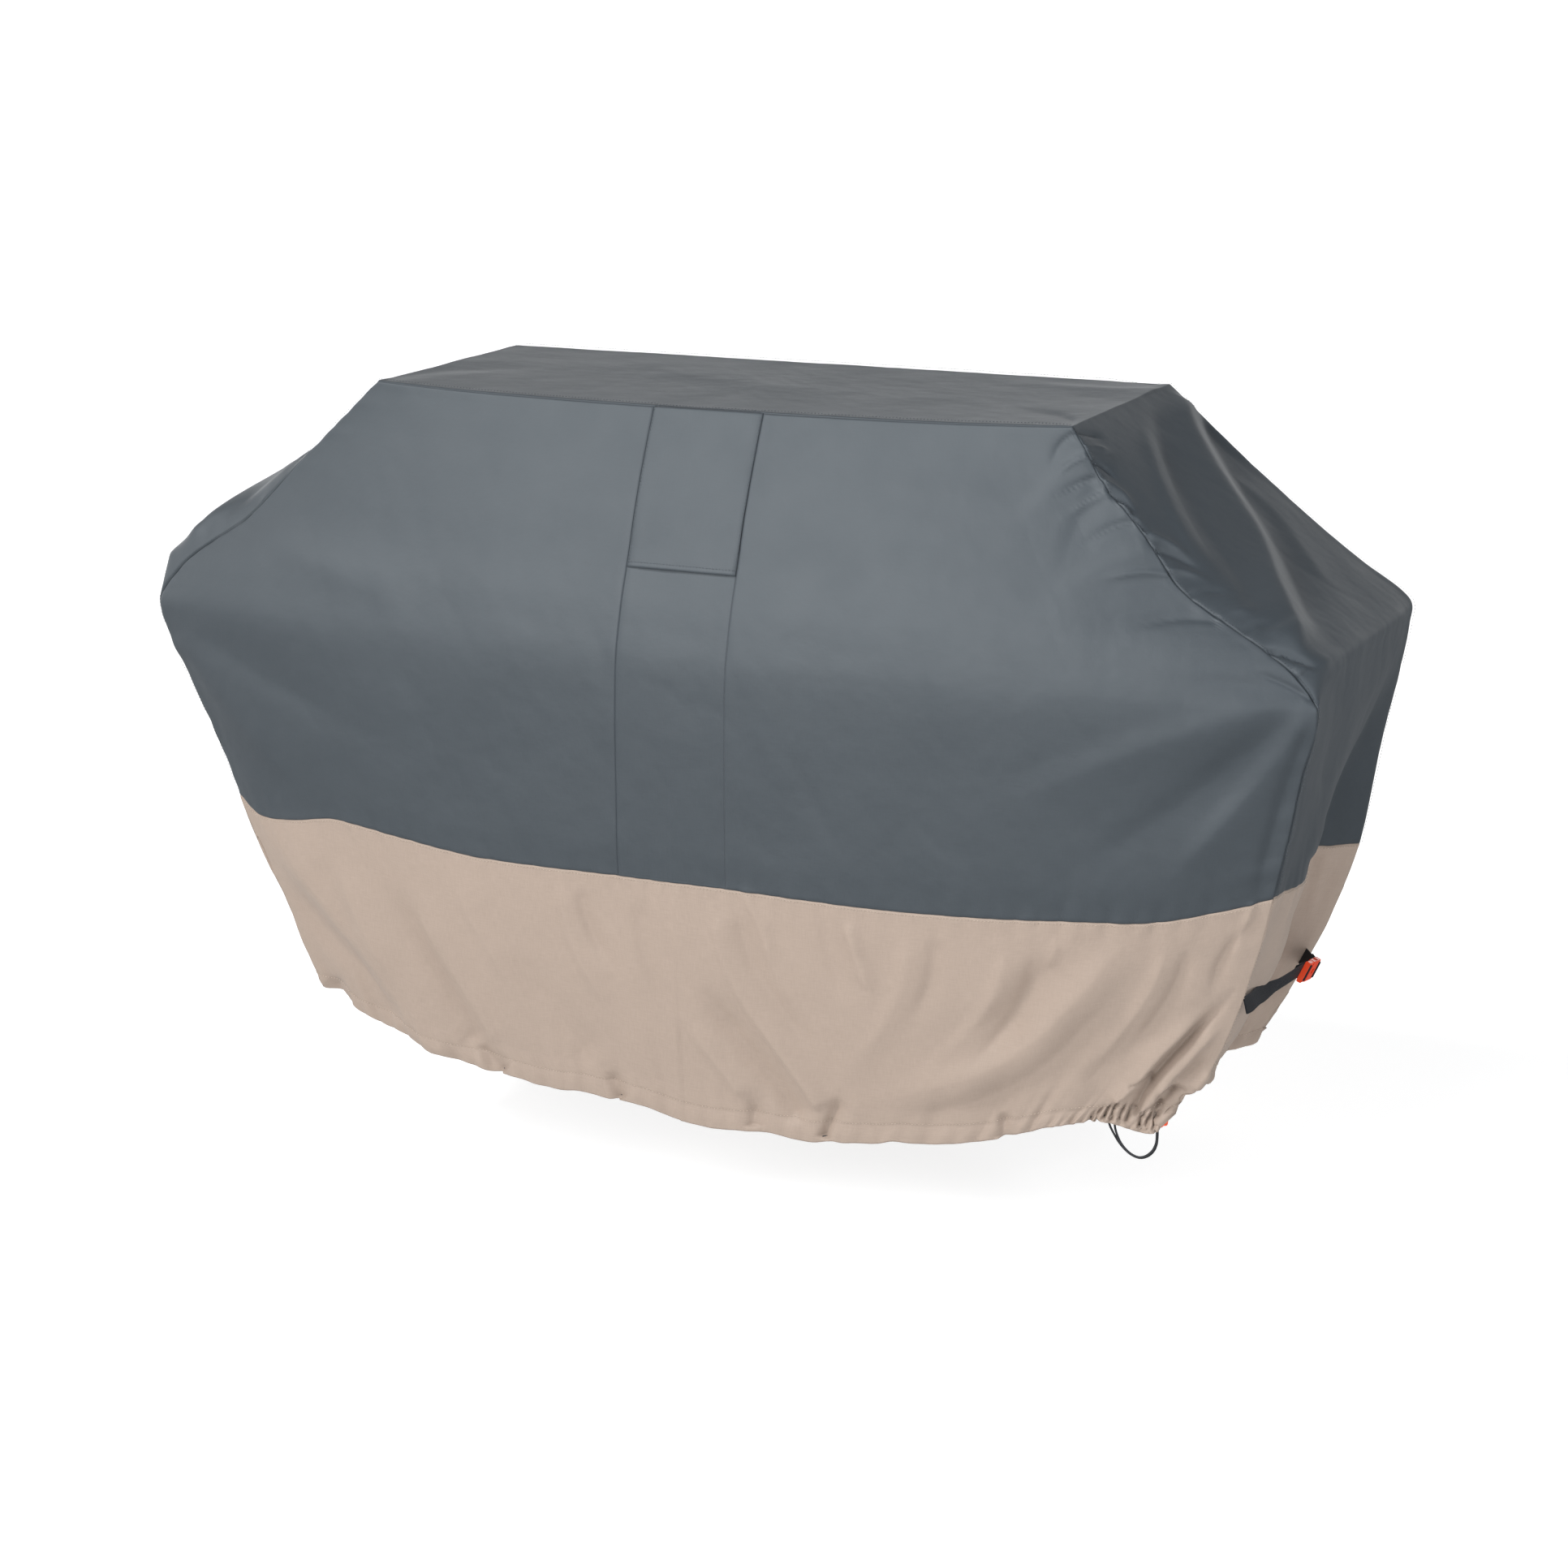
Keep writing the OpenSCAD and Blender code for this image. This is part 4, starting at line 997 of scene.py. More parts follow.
class Nodes:
    def __init__(self, name):
        self.mat = bpy.data.materials.new(name)
        self.mat.use_nodes = True
        self.t = self.mat.node_tree
        self.t.nodes.clear()
        self.out = self.t.nodes.new("ShaderNodeOutputMaterial")
        self.bsdf = self.t.nodes.new("ShaderNodeBsdfPrincipled")
        self.link(self.bsdf.outputs[0], self.out.inputs["Surface"])

    def link(self, a, b):
        self.t.links.new(a, b)

    def node(self, kind, **props):
        n = self.t.nodes.new(kind)
        for k, v in props.items():
            setattr(n, k, v)
        return n

    def math(self, op, a, b=None, c=None, clamp=False):
        n = self.node("ShaderNodeMath", operation=op, use_clamp=clamp)
        for i, x in enumerate((a, b, c)):
            if x is None:
                continue
            if hasattr(x, "links"):
                self.link(x, n.inputs[i])
            else:
                n.inputs[i].default_value = x
        return n.outputs[0]

    def coords(self, kind):
        return self.node("ShaderNodeTexCoord").outputs[kind]

    def noise(self, vec, scale, detail=3.0, rough=.55):
        n = self.node("ShaderNodeTexNoise")
        n.inputs["Scale"].default_value = scale
        n.inputs["Detail"].default_value = detail
        n.inputs["Roughness"].default_value = rough
        if vec is not None:
            self.link(vec, n.inputs["Vector"])
        return n.outputs[0]

    def scaled(self, vec, x, y, z=1.0):
        n = self.node("ShaderNodeMapping")
        n.inputs["Scale"].default_value = (x, y, z)
        self.link(vec, n.inputs["Vector"])
        return n.outputs[0]

    def blend(self, fac, a, b, mode="MIX"):
        n = self.node("ShaderNodeMix", data_type="RGBA", blend_type=mode)
        for sock, x in ((n.inputs[0], fac), (n.inputs[6], a), (n.inputs[7], b)):
            if hasattr(x, "links"):
                self.link(x, sock)
            else:
                sock.default_value = x
        return n.outputs[2]

    def ramp(self, fac, stops):
        n = self.node("ShaderNodeValToRGB")
        e = n.color_ramp.elements
        e[0].position, e[0].color = stops[0]
        e[1].position, e[1].color = stops[-1]
        for pos, col in stops[1:-1]:
            e.new(pos).color = col
        self.link(fac, n.inputs[0])
        return n.outputs[0]

    def bump(self, height, strength, distance, normal=None):
        n = self.node("ShaderNodeBump")
        n.inputs["Strength"].default_value = strength
        n.inputs["Distance"].default_value = distance
        self.link(height, n.inputs["Height"])
        if normal is not None:
            self.link(normal, n.inputs["Normal"])
        return n.outputs[0]

    def set(self, **values):
        for k, v in values.items():
            self.bsdf.inputs[k.replace("_", " ")].default_value = v

    def wire(self, **values):
        for k, v in values.items():
            self.link(v, self.bsdf.inputs[k.replace("_", " ")])


def shade(col, k):
    return (col[0] * k, col[1] * k, col[2] * k, 1.0)


def woven(name, col, thread=.00085, rough=.56, sheen=.05, crest_highlight=None, spec=.38, tint=(1, 1, 1, 1)):
    """Plain-weave coated polyester. The UVs are in metres."""
    m = Nodes(name)
    uv = m.coords("UV")
    sep = m.node("ShaderNodeSeparateXYZ")
    m.link(uv, sep.inputs[0])
    wob = m.noise(uv, 900, 2)
    u = m.math("ADD", sep.outputs[0], m.math("MULTIPLY", m.math("SUBTRACT", wob, .5), thread * .35))
    w = m.math("ADD", sep.outputs[1], m.math("MULTIPLY", m.math("SUBTRACT", wob, .5), thread * .35))
    k = math.pi / thread
    su = m.math("SINE", m.math("MULTIPLY", u, k))
    sw = m.math("SINE", m.math("MULTIPLY", w, k))
    cu = m.math("ABSOLUTE", su)
    cw = m.math("ABSOLUTE", sw)
    # over and under: which thread lies on top changes like a chequerboard
    top = m.math("GREATER_THAN", m.math("MULTIPLY", su, sw), 0.0)
    weave = m.math("ADD", m.math("MULTIPLY", cu, top), m.math("MULTIPLY", cw, m.math("SUBTRACT", 1.0, top)))
    obj = m.coords("Object")
    big = m.noise(obj, 2.2, 3)
    mid = m.noise(obj, 14, 4, .6)
    slub_u = m.noise(m.scaled(uv, 55, 620), 1.0, 3)
    slub_w = m.noise(m.scaled(uv, 620, 55), 1.0, 3)
    tone = m.math("ADD", m.math("MULTIPLY", big, .06), m.math("MULTIPLY", mid, .05))
    tone = m.math("ADD", tone, m.math("MULTIPLY", m.math("ADD", slub_u, slub_w), .17))
    # the threads lying on top are painted paler than the hollows between them: painted highlight and shade
    tone = m.math("ADD", tone, m.math("MULTIPLY", weave, .10))
    c = m.ramp(m.math("MULTIPLY", tone, 2.1, clamp=True), [(.22, shade(col, .80)), (.52, shade(col, 1.0)), (.82, shade(col, 1.16))])
    if crest_highlight is not None:
        # a little paler on the crests of its folds and seams: a painted highlight
        geo = m.node("ShaderNodeNewGeometry")
        crest_highlight_mask = m.ramp(geo.outputs["Pointiness"], [(.50, (0, 0, 0, 1)), (.58, (1, 1, 1, 1))])
        c = m.blend(m.math("MULTIPLY", crest_highlight_mask, crest_highlight), c, shade(col, 1.35))
    m.wire(Base_Color=c)
    r = m.math("ADD", m.math("MULTIPLY", mid, .10), rough - .05)
    m.wire(Roughness=r)
    crumple = m.noise(obj, 55, 5, .62)
    height = m.math("ADD", m.math("MULTIPLY", weave, .16), m.math("MULTIPLY", m.math("ADD", slub_u, slub_w), .10))
    slack = m.noise(obj, 6.5, 3, .55)
    n0 = m.bump(slack, .45, .009)
    n1 = m.bump(height, .55, .00018, n0)
    n2 = m.bump(crumple, .25, .0016, n1)
    m.wire(Normal=n2)
    m.set(Sheen_Weight=sheen, Sheen_Roughness=.5, Specular_IOR_Level=spec, Specular_Tint=tint)
    return m.mat


def webbing_mat(name, col, rib=.0019):
    m = Nodes(name)
    uv = m.coords("UV")
    sep = m.node("ShaderNodeSeparateXYZ")
    m.link(uv, sep.inputs[0])
    zig = m.math("ABSOLUTE", m.math("SINE", m.math("MULTIPLY", sep.outputs[0], math.pi / .0031)))
    y = m.math("ADD", sep.outputs[1], m.math("MULTIPLY", zig, .0007))
    ribs = m.math("ABSOLUTE", m.math("SINE", m.math("MULTIPLY", y, math.pi / rib)))
    fuzz = m.noise(m.scaled(uv, 900, 500), 1.0, 3)
    big = m.noise(m.coords("Object"), 30, 3)
    # the ribs are painted paler on their crests and darker in the grooves between them: painted highlight and shade;
    # fuzz and big are the yarn's own tone
    tone = m.math("ADD", m.math("MULTIPLY", ribs, .5), m.math("MULTIPLY", m.math("ADD", fuzz, big), .3))
    c = m.ramp(tone, [(.1, shade(col, .62)), (.6, shade(col, 1.0)), (1, shade(col, 1.5))])
    m.wire(Base_Color=c, Normal=m.bump(m.math("ADD", ribs, m.math("MULTIPLY", fuzz, .25)), .7, .0005))
    m.set(Roughness=.62, Sheen_Weight=.02, Sheen_Roughness=.4, Specular_IOR_Level=.22)
    return m.mat


def cord_mat(name, col):
    m = Nodes(name)
    uv = m.coords("UV")
    sep = m.node("ShaderNodeSeparateXYZ")
    m.link(uv, sep.inputs[0])
    k = 2 * math.pi / .0030
    a = m.math("SINE", m.math("ADD", m.math("MULTIPLY", sep.outputs[0], k), m.math("MULTIPLY", sep.outputs[1], k * .95)))
    b = m.math("SINE", m.math("SUBTRACT", m.math("MULTIPLY", sep.outputs[0], k), m.math("MULTIPLY", sep.outputs[1], k * .95)))
    braid = m.math("MAXIMUM", a, b)
    fuzz = m.noise(m.scaled(uv, 1500, 1500), 1.0, 2)
    # paler on the braid's raised strands and darker between them: painted highlight and shade; the fuzz is the yarn's
    # own tone
    tone = m.math("ADD", m.math("MULTIPLY", braid, .35), m.math("MULTIPLY", fuzz, .5))
    c = m.ramp(tone, [(.0, shade(col, .5)), (.5, shade(col, 1.0)), (.9, shade(col, 1.9))])
    m.wire(Base_Color=c, Normal=m.bump(braid, .6, .0004))
    m.set(Roughness=.55, Sheen_Weight=.04, Sheen_Roughness=.4, Specular_IOR_Level=.35)
    return m.mat


def plastic(name, col, rough=.34):
    """Moulded acetal: a fine grain, faint flow marks, and sharp edges painted paler as a highlight."""
    m = Nodes(name)
    obj = m.coords("Object")
    flow = m.noise(m.scaled(obj, 60, 200, 90), 1.0, 3)
    grain = m.noise(obj, 2600, 3)
    geo = m.node("ShaderNodeNewGeometry")
    # the sharp edges are painted paler: a painted highlight
    edge = m.ramp(geo.outputs["Pointiness"], [(.52, (0, 0, 0, 1)), (.62, (1, 1, 1, 1))])
    c = m.ramp(m.math("ADD", m.math("MULTIPLY", flow, .7), m.math("MULTIPLY", grain, .3)),
               [(.2, shade(col, .90)), (.8, shade(col, 1.07))])
    c = m.blend(m.math("MULTIPLY", edge, .25), c, (min(col[0] * 1.15 + .03, 1), col[1] * 1.5 + .03, col[2] * 1.5 + .03, 1))
    m.wire(Base_Color=c, Roughness=m.math("ADD", m.math("MULTIPLY", flow, .16), rough - .06),
           Normal=m.bump(grain, .25, .00012))
    m.set(Specular_IOR_Level=.5)
    return m.mat


def steel(name):
    m = Nodes(name)
    obj = m.coords("Object")
    draw = m.noise(m.scaled(obj, 900, 900, 900), 1.0, 3)
    m.wire(Roughness=m.math("ADD", m.math("MULTIPLY", draw, .2), .22), Normal=m.bump(draw, .15, .00005))
    c = m.ramp(draw, [(.3, (.50, .50, .51, 1)), (.7, (.62, .62, .63, 1))])
    m.wire(Base_Color=c)
    m.set(Metallic=1.0)
    return m.mat


def mesh_mat(name, col, pitch=.0016):
    """Knitted vent mesh: round holes between the yarns, as dimples painted dark: painted shade."""
    m = Nodes(name)
    uv = m.coords("UV")
    sep = m.node("ShaderNodeSeparateXYZ")
    m.link(uv, sep.inputs[0])
    k = math.pi / pitch
    a = m.math("ABSOLUTE", m.math("SINE", m.math("MULTIPLY", m.math("ADD", sep.outputs[0], sep.outputs[1]), k)))
    b = m.math("ABSOLUTE", m.math("SINE", m.math("MULTIPLY", m.math("SUBTRACT", sep.outputs[0], sep.outputs[1]), k)))
    hole = m.math("MULTIPLY", a, b)
    # the holes are painted nearly black: painted shade for the dark inside seen through them
    c = m.ramp(hole, [(.25, shade(col, 1.0)), (.6, shade(col, .15))])
    m.wire(Base_Color=c, Normal=m.bump(m.math("SUBTRACT", 1.0, hole), .8, .0005))
    m.set(Roughness=.7, Sheen_Weight=.15)
    return m.mat


GREY, BEIGE = (.0305, .0395, .0485, 1.0), (.300, .237, .195, 1.0)
MATS = {
    # both cloths are painted paler on their fold crests and seams: a painted highlight
    "grey_cloth": woven("grey_woven_polyester", GREY, crest_highlight=.18, rough=.62, spec=.95, tint=(.92, .97, 1, 1)),
    "beige_cloth": woven("beige_woven_polyester", BEIGE, crest_highlight=.15, sheen=.05, tint=(1, .96, .90, 1)),
    "binding_tape": webbing_mat("seam_binding_tape", (.020, .022, .026, 1), .0012),
    "webbing": webbing_mat("dark_webbing", srgb(33, 35, 40)),
    "cord": cord_mat("braided_cord", srgb(52, 54, 58)),
    "grey_thread": webbing_mat("grey_thread", srgb(84, 90, 97), .0006),
    "beige_thread": webbing_mat("beige_thread", srgb(205, 190, 174), .0006),
    "black_mesh": mesh_mat("vent_mesh_knit", srgb(40, 42, 46)),
    "buckle_plastic": plastic("orange_red_plastic", srgb(232, 66, 22)),
    "lock_plastic": plastic("orange_lock_plastic", srgb(246, 92, 48)),
    "spring_steel": steel("spring_steel_wire"),
}

# ------------------------------------------------------------ put together
make_camera()
make_cords()

cover, V, info = make_cover()
N = cover.normals(V)
FACE = info["face"]
I2 = int(np.argmin(np.abs(T_ROWS - 2)))
ROW = lambda t: int(np.argmin(np.abs(T_ROWS - t)))
CA, CB = int(np.argmin(np.abs(S_COLS + STRIP))), int(np.argmin(np.abs(S_COLS - STRIP)))
F, R, B, L, TP = (FACE[k] for k in "FRBLT")
G, BG = MATS["grey_cloth"], MATS["beige_cloth"]

gusset = np.concatenate([L[I2:0:-1], TP.T, R[1:I2 + 1]])
cloth_panel("cloth_gusset_strip", gusset, V, N, G, ["gusset_strip"])
cloth_panel("cloth_front_left", F[:I2 + 1, :CA + 1], V, N, G, ["front_panel_left"])
cloth_panel("cloth_front_right", F[:I2 + 1, CB:], V, N, G, ["front_panel_right"])
cloth_panel("cloth_back", B[:I2 + 1], V, N, G, ["back_panel"], flip=True)
cloth_panel("cloth_centre_strip", F[ROW(.56):I2 + 1, CA:CB + 1], V, N, G, ["centre_panel"])
cloth_panel("cloth_vent_header", F[:ROW(.22) + 1, CA:CB + 1], V, N, G, ["vent_header"])
cloth_panel("cloth_vent_mesh", F[ROW(.22):ROW(.56) + 1, CA:CB + 1], V, N, MATS["black_mesh"],
                            ["vent_mesh"], thick=.0007)
# the flap over the vent lies loose on it, and stands off along its free edge
fl = F[:ROW(.64) + 1, CA:CB + 1]
fr, fc = fl.shape
ss = np.linspace(-1, 1, fc)[None]
tt = np.linspace(0, 1, fr)[:, None]
lift = .0013 + .0009 * (1 - ss**4) + .0016 * tt**3 * (1 - ss**6) + .0006 * np.sin(ss * 5 + tt * 3) * tt
lift = lift * smooth(tt * 30 + .35)
cloth_panel("cloth_vent_flap", fl, V, N, G, ["vent_flap"], lift=lift, thick=.0009)

cloth_panel("cloth_skirt_front", F[I2:], V, N, BG, ["front_skirt"])
cloth_panel("cloth_skirt_right", R[I2:], V, N, BG, ["right_skirt"])
cloth_panel("cloth_skirt_left", L[I2:], V, N, BG, ["left_skirt"], flip=True)
cloth_panel("cloth_skirt_back", B[I2:], V, N, BG, ["back_skirt"], flip=True)

# the hem's tunnel: an inner return strip, and the drawcord in it
W = cover.wall
ia, ib = ROW(2.915), len(T_ROWS) - 1
flat_n = N.copy()
flat_n[:, 2] = 0
flat_n /= np.maximum(np.linalg.norm(flat_n, axis=1), 1e-9)[:, None]


def ring_at(row, inward, dz=0.0):
    idx = W[row]
    nn = flat_n[idx]
    # even out the gathers a little, so the inner strip doesn't cross itself
    for _ in range(3):
        nn = (np.roll(nn, 1, 0) + nn * 2 + np.roll(nn, -1, 0)) / 4
    nn /= np.linalg.norm(nn, axis=1)[:, None]
    return V[idx] - nn * inward + [0, 0, dz]


mid = (ia + ib) // 2
sheet_rows = [ring_at(ib, .0012, .0006), ring_at(ib, .0022, -.0012), ring_at(ib, .0040, -.0017),
              ring_at(ib, .0058, -.0010), ring_at(ib, .0066, .0010), ring_at(mid, .0066), ring_at(ia, .0034),
              ring_at(ia, .0014, .001)]
G2 = np.stack(sheet_rows)
G2 = np.concatenate([G2, G2[:, :1]], 1)
rr, cc = G2.shape[:2]
inner = G2.copy()
tang = np.gradient(G2, axis=0)
col = np.gradient(G2, axis=1)
nn = np.cross(tang, col)
nn /= np.maximum(np.linalg.norm(nn, axis=2), 1e-12)[..., None]
cen = G2.mean(1, keepdims=True)
out_faces = grid_faces(rr, cc)
k = rr * cc
th = .0006
vv = np.concatenate([(G2 + nn * th / 2).reshape(-1, 3), (G2 - nn * th / 2).reshape(-1, 3)])
seam_fix = []
ff = np.concatenate([out_faces, out_faces[:, ::-1] + k])
ii = np.arange(k).reshape(rr, cc)
rims = []
for e, rev in ((ii[0], False), (ii[-1], True)):
    q = np.stack([e[:-1], e[1:], e[1:] + k, e[:-1] + k], -1)
    rims.append(q[:, ::-1] if rev else q)
ff = np.concatenate([ff] + rims)
du = np.concatenate([[0], np.cumsum(np.linalg.norm(np.diff(G2[4], axis=0), axis=1))])
dv = np.concatenate([[0], np.cumsum(np.linalg.norm(np.diff(G2[:, 0], axis=0), axis=1))])
uv = np.stack([np.repeat(du[None], rr, 0), np.repeat(dv[:, None], cc, 1)], -1).reshape(-1, 2)
casing = add_piece("cloth_hem_tunnel", vv, ff, BG, uvs=np.concatenate([uv, uv]), nodes=["hem_casing"])
bm = bmesh.new()
bm.from_mesh(casing.data)
bmesh.ops.remove_doubles(bm, verts=bm.verts, dist=1e-6)
bmesh.ops.recalc_face_normals(bm, faces=bm.faces)
bm.to_mesh(casing.data)
bm.free()

cord_row = ROW(2.985)
ring = ring_at(cord_row, .0036)
ring_s = ring.copy()
for _ in range(4):
    ring_s = (np.roll(ring_s, 1, 0) + 2 * ring_s + np.roll(ring_s, -1, 0)) / 4
tun = tube_mesh("tunnel_drawcord", ring_s[::2], .0014, 8, closed=True)
tun.data.materials.append(MATS["cord"])
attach(tun, "root")
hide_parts("hem_drawcord")


# bound seam allowances stand inwards from the corner seams
def binding(name, node, grid_l, grid_t, grid_r):
    line = np.concatenate([grid_l[I2 - 1:0:-1], grid_t, grid_r[1:I2]])
    p = V[line]
    run = np.concatenate([[0], np.cumsum(np.linalg.norm(np.diff(p, axis=0), axis=1))])
    at = np.linspace(0, run[-1], int(run[-1] / .010))
    p = np.stack([np.interp(at, run, p[:, k]) for k in range(3)], -1)
    for _ in range(3):
        p[1:-1] = (p[:-2] + p[1:-1] * 2 + p[2:]) / 4
    nn = p - p * [.6, 0, 0] - [0, 0, -.45]
    nn /= np.linalg.norm(nn, axis=1)[:, None]
    path = p - nn * .0155
    return ribbon(name, path, nn, .012, .0014, MATS["binding_tape"], nodes=[node])


binding("tape_front_seam", "front_seam_binding", F[:, 0], F[0], F[:, -1])
binding("tape_back_seam", "back_seam_binding", B[:, 0], B[0], B[:, -1])

# top-stitching
grey_lines, beige_lines = [], []
for g, upto in ((R, I2), (L, I2)):
    sub = g[:upto + 1]
    grey_lines.append(beside(V, N, sub, col=0, step=1, far=.0045))
    grey_lines.append(beside(V, N, sub[:, ::-1], col=0, step=1, far=.0045))
grey_lines.append(beside(V, N, TP, row=0, step=1, far=.0045))
grey_lines.append(beside(V, N, TP[::-1], row=0, step=1, far=.0045))
st = F[ROW(.64) + 1:I2 + 1]
grey_lines.append(beside(V, N, st[:, CA:], col=0, step=1, far=.004))
grey_lines.append(beside(V, N, st[:, CB::-1], col=0, step=1, far=.004))
fp = V[fl] + N[fl] * (lift[..., None] + .0003)
grey_lines.append((fp[-3], N[fl][-3]))
grey_lines.append((fp[:, 1], N[fl][:, 1]))
grey_lines.append((fp[:, -2], N[fl][:, -2]))
grey_lines.append((fp[1], N[fl][1]))
loop = np.concatenate([W[I2 + 1], W[I2 + 1, :1]])
a = V[np.concatenate([W[I2], W[I2, :1]])]
b = V[loop]
dd = (b - a) / np.linalg.norm(b - a, axis=1)[:, None]
for far in (.0035,):
    beige_lines.append((a + dd * far + N[loop] * .0003, N[loop]))
loop = np.concatenate([W[ia], W[ia, :1]])
beige_lines.append((V[loop] + N[loop] * .0003, N[loop]))
beige_lines.append((V[R[I2:, 0]] + (V[R[I2:, 1]] - V[R[I2:, 0]]) * .8 + N[R[I2:, 1]] * .0003, N[R[I2:, 1]]))
sg = stitches("thread_grey", grey_lines, MATS["grey_thread"])
sb = stitches("thread_beige", beige_lines, MATS["beige_thread"])


# ------------------------------------------------------------- side straps
def rot(axis, deg):
    return np.array(Matrix.Rotation(math.radians(deg), 3, axis))


STRAP_O = np.array([.754, .146, -.801])
STRAP_R = rot("Z", 1.2) @ rot("X", -10.8) @ rot("Y", 23)
LEFT_SHIFT = .0536


def strap_world(p, right=True):
    q = STRAP_O + np.asarray(p, float) @ STRAP_R.T
    return q if right else q * [-1, 1, 1] + [LEFT_SHIFT, 0, 0]


def strap_local(q, right=True):
    q = np.asarray(q, float)
    if not right:
        q = (q - [LEFT_SHIFT, 0, 0]) * [-1, 1, 1]
    return (q - STRAP_O) @ STRAP_R


def rounded_path(pts, r, n=5):
    """The path with its corners turned in arcs of about this radius."""
    p = np.array(pts, float)
    out = [p[0]]
    for i in range(1, len(p) - 1):
        a, b, c = p[i - 1], p[i], p[i + 1]
        la, lc = np.linalg.norm(a - b), np.linalg.norm(c - b)
        k = min(r, la * .45, lc * .45)
        s, e = b + (a - b) / la * k, b + (c - b) / lc * k
        for q in np.linspace(0, 1, n):
            out.append((1 - q) ** 2 * s + 2 * q * (1 - q) * b + q * q * e)
    out.append(p[-1])
    return np.array(out)


def dense(p, step):
    out = [p[0]]
    for a, b in zip(p[:-1], p[1:]):
        m = max(1, int(np.linalg.norm(b - a) / step))
        out += [a + (b - a) * (k + 1) / m for k in range(m)]
    return np.array(out)


FRONT_WEB = [(-2.4, -353), (.6, -325), (2.2, -275), (2.2, -195), (-4.7, -28), (-4.7, -17.2), (4.8, -17.2),
             (4.8, -9.6), (-6.4, -9.6), (-6.4, -62)]
REAR_WEB = [(-31, 80), (-5.4, 45), (-5.4, 32.6), (5.4, 32.6), (5.4, 39), (-3.6, 47.2), (-14, 62.6)]
for side_name, right in (("right", True), ("left", False)):
    sg_ = R if right else L
    for part, pts, body in (("front", FRONT_WEB, "root"), ("rear", REAR_WEB, "root")):
        p = np.array(pts, float) / 1000
        path = dense(rounded_path(p, .0022), .004)
        local = np.concatenate([path, np.zeros((len(path), 1))], 1)
        world = strap_world(local, right)
        if part == "front":
            # sewn into the corner seam: lead the first stretch to it
            seam = V[sg_[I2:, 1]]
            want = seam[np.argmin(np.abs(strap_local(seam, right)[:, 2]))]
            lp = strap_local(want, right)
            run = path[:, 1]
            q = smooth((-.285 - run) / .068)
            local[:, 0] += q * (lp[0] + .0012 - path[0, 0])
            local[:, 1] += q * (lp[1] + .002 - path[0, 1])
            local[:, 2] += q * lp[2]
            world = strap_world(local, right)
        ax = (STRAP_R[:, 2] * [1 if right else -1, 1, 1])
        across = np.repeat(ax[None], len(world), 0)
        if part == "front" and right:
            # it leaves the seam standing upright and turns to lie along the buckle
            upright = np.array([-.22, -.05, .97])
            turn = smooth((-.16 - path[:, 1]) / .15)[:, None]
            across = mix(across, upright[None], turn)
            world[:, 0] += .003 * turn[:, 0]
        ob = ribbon(f"web_{side_name}_{part}", world, across, .025, .0013, MATS["webbing"], body=None,
                    nodes=[f"{side_name}_{part}_webbing"])
        if part == "front":
            s = strap_world([0, -.30, 0], right)
            e = strap_world([0, -.035, 0], right)
            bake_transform(ob)
        else:
            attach(ob, "root")

# -------------------------------------------- the hard parts keep their CAD
NODE_MATS = {"cord_lock_barrel": "lock_plastic", "cord_lock_plunger": "lock_plastic"}
for s in ("right", "left"):
    for nm in ("buckle_socket", "buckle_plug", "buckle_upper_prong", "buckle_lower_prong"):
        NODE_MATS[f"{s}_{nm}"] = "buckle_plastic"
for nm, mk in NODE_MATS.items():
    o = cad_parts[nm]
    for sl in o.material_slots:
        sl.material = MATS[mk]

# --------------------------------------------------------- stage and light
me = bpy.data.meshes.new("floor")
me.from_pydata([(-400, -400, FLOOR), (400, -400, FLOOR), (400, 400, FLOOR), (-400, 400, FLOOR)], [], [(0, 1, 2, 3)])
floor = collect(bpy.data.objects.new("floor", me))
fm = Nodes("pale_floor")
fm.set(Roughness=.9, Specular_IOR_Level=.1, Emission_Color=(1, 1, 1, 1), Emission_Strength=.80)
fm.wire(Base_Color=fm.ramp(fm.noise(fm.coords("Object"), 3.0, 3), [(.3, (.54, .54, .54, 1)), (.7, (.57, .57, .57, 1))]))
me.materials.append(fm.mat)
floor.visible_glossy = False        # the sweep, not the floor, shines in the cloth


def area_light(name, at, aim, size, power, colour=(1, 1, 1)):
    d = bpy.data.lights.new(name, "AREA")
    d.shape, d.size, d.size_y = "RECTANGLE", size[0], size[1]
    d.energy, d.color = power, colour
    o = collect(bpy.data.objects.new(name, d))
    v = Vector(aim) - Vector(at)
    o.rotation_euler = v.to_track_quat("-Z", "Y").to_euler()
    o.location = at


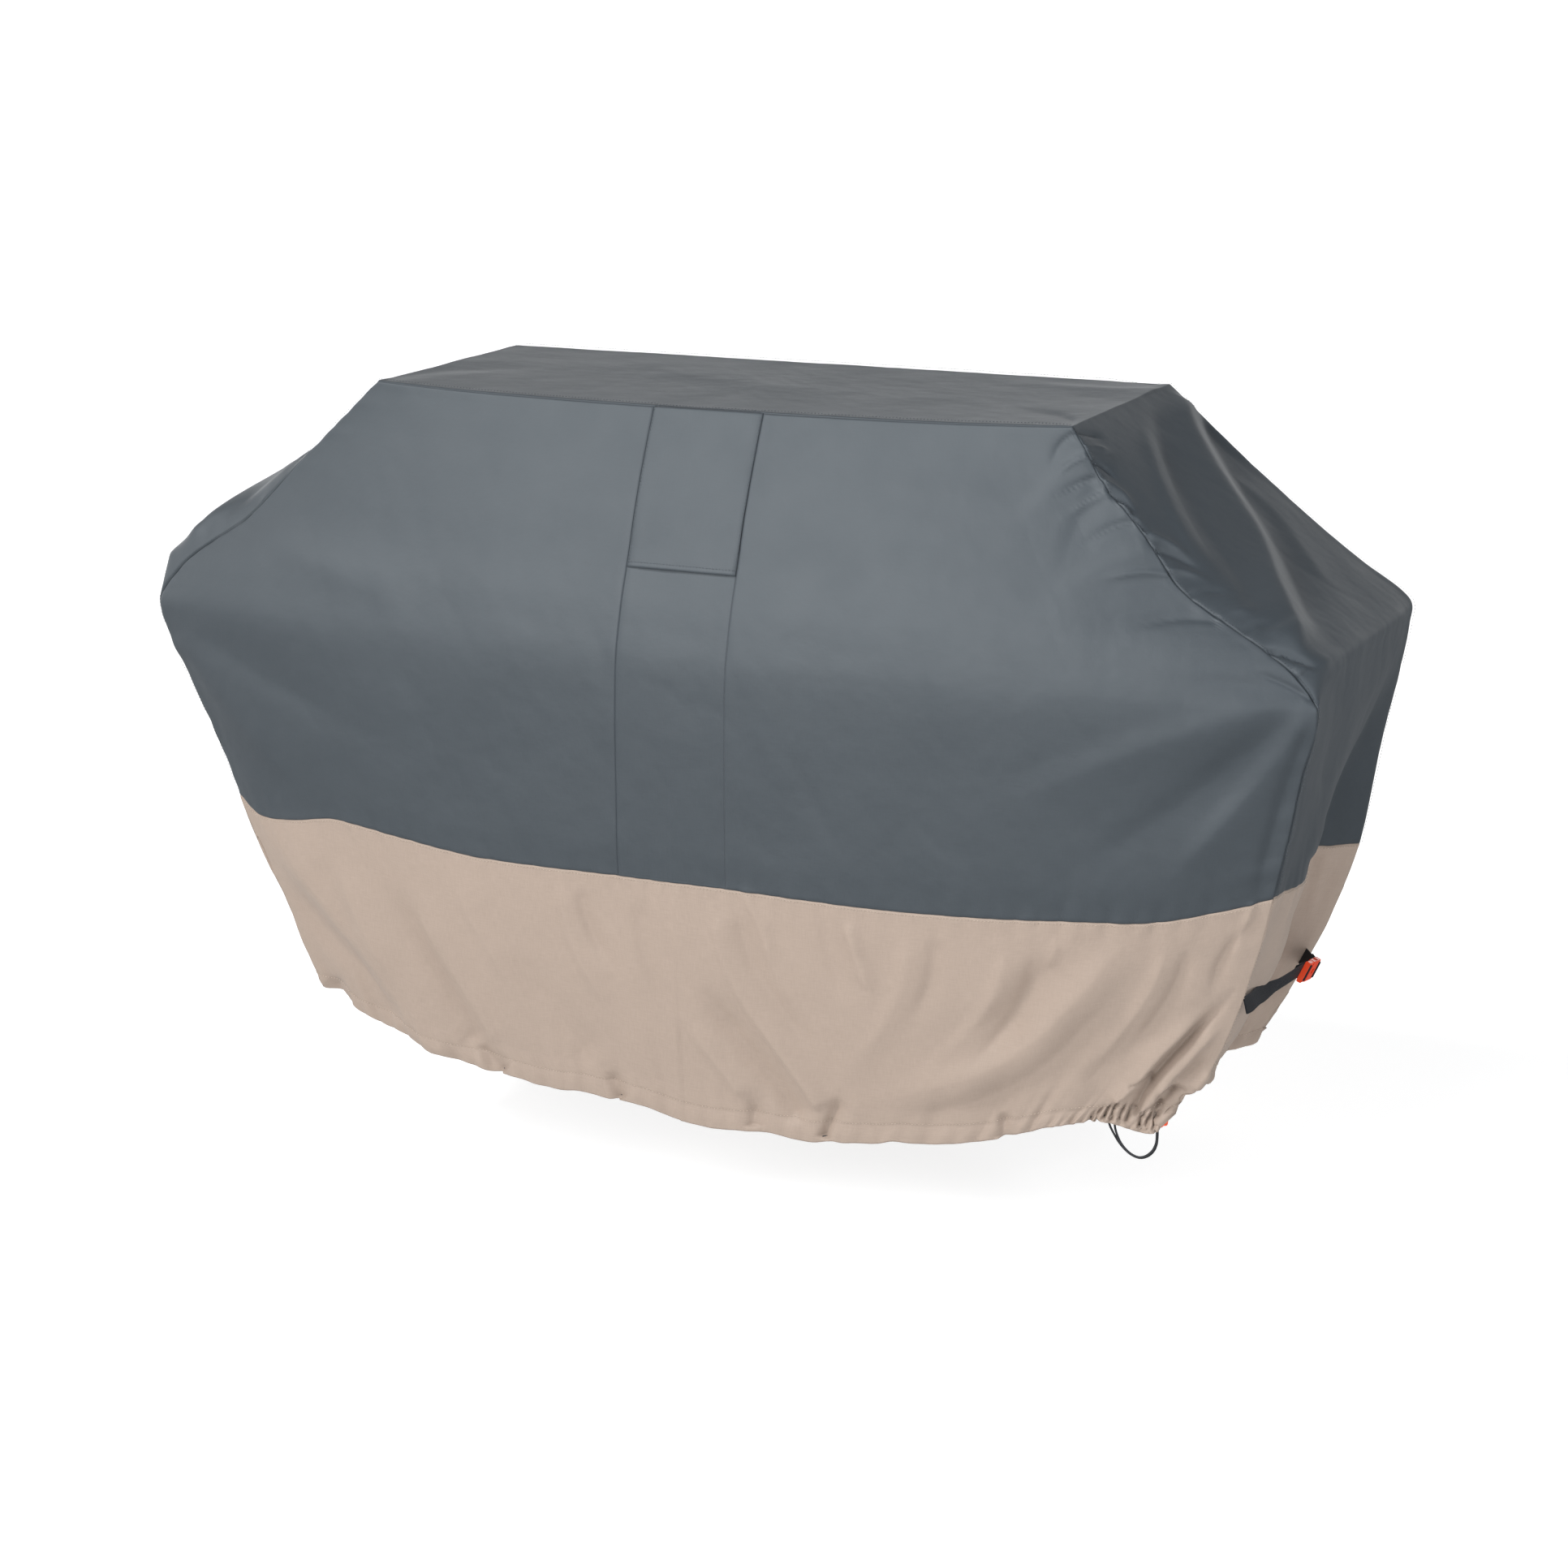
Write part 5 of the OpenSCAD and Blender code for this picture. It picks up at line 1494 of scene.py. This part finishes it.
sun = bpy.data.lights.new("key", "SUN")
sun.energy, sun.angle = 1.65, math.radians(12)
so = collect(bpy.data.objects.new("key", sun))
so.rotation_euler = (-Vector(((-.47, -.50, .73)))).to_track_quat("-Z", "Y").to_euler()
area_light("softbox", (-.45, -3.3, .95), (.0, -.3, -.45), (1.9, 1.5), 74)
area_light("right_softbox", (3.3, -1.9, 1.0), (.6, 0, -.5), (1.0, 1.0), 45, (.93, .96, 1.0))
world = bpy.data.worlds.new("studio")
bpy.context.scene.world = world
world.use_nodes = True
nt = world.node_tree
bg = nt.nodes["Background"]
# a bright sweep low down all round, and a darker ceiling
co = nt.nodes.new("ShaderNodeTexCoord")
sp = nt.nodes.new("ShaderNodeSeparateXYZ")
rp = nt.nodes.new("ShaderNodeValToRGB")
nt.links.new(co.outputs["Generated"], sp.inputs[0])
mr = nt.nodes.new("ShaderNodeMapRange")
mr.inputs["From Min"].default_value = -1.0
nt.links.new(sp.outputs["Z"], mr.inputs["Value"])
nt.links.new(mr.outputs["Result"], rp.inputs[0])
nt.links.new(rp.outputs[0], bg.inputs[0])
SWEEP = [(0.0, .06), (.49, .10), (.50, 1.35), (.575, 1.20), (.62, .16), (1.0, .09)]
# and brightest behind and to the left, where the top's cloth looks
behind = nt.nodes.new("ShaderNodeMapRange")
behind.inputs["From Min"].default_value = .0
behind.inputs["From Max"].default_value = 1.4
behind.inputs["To Min"].default_value = .75
behind.inputs["To Max"].default_value = 3.6
mul = nt.nodes.new("ShaderNodeMath")
mul.operation = "MULTIPLY"
mul.inputs[1].default_value = .80
aside = nt.nodes.new("ShaderNodeMath")      # dimmer toward the right
aside.operation = "MULTIPLY_ADD"
aside.inputs[1].default_value = -1.2
nt.links.new(sp.outputs["X"], aside.inputs[0])
nt.links.new(sp.outputs["Y"], aside.inputs[2])
nt.links.new(aside.outputs[0], behind.inputs["Value"])
nt.links.new(behind.outputs["Result"], mul.inputs[0])
nt.links.new(mul.outputs[0], bg.inputs[1])
el = rp.color_ramp.elements
while len(el) < len(SWEEP):
    el.new(.5)
for e, (at, val) in zip(el, SWEEP):
    e.position = at
for e, (at, val) in zip(el, SWEEP):
    e.color = (val, val, val, 1)
bpy.context.scene.view_settings.view_transform = "Standard"
bpy.context.scene.view_settings.look = "None"
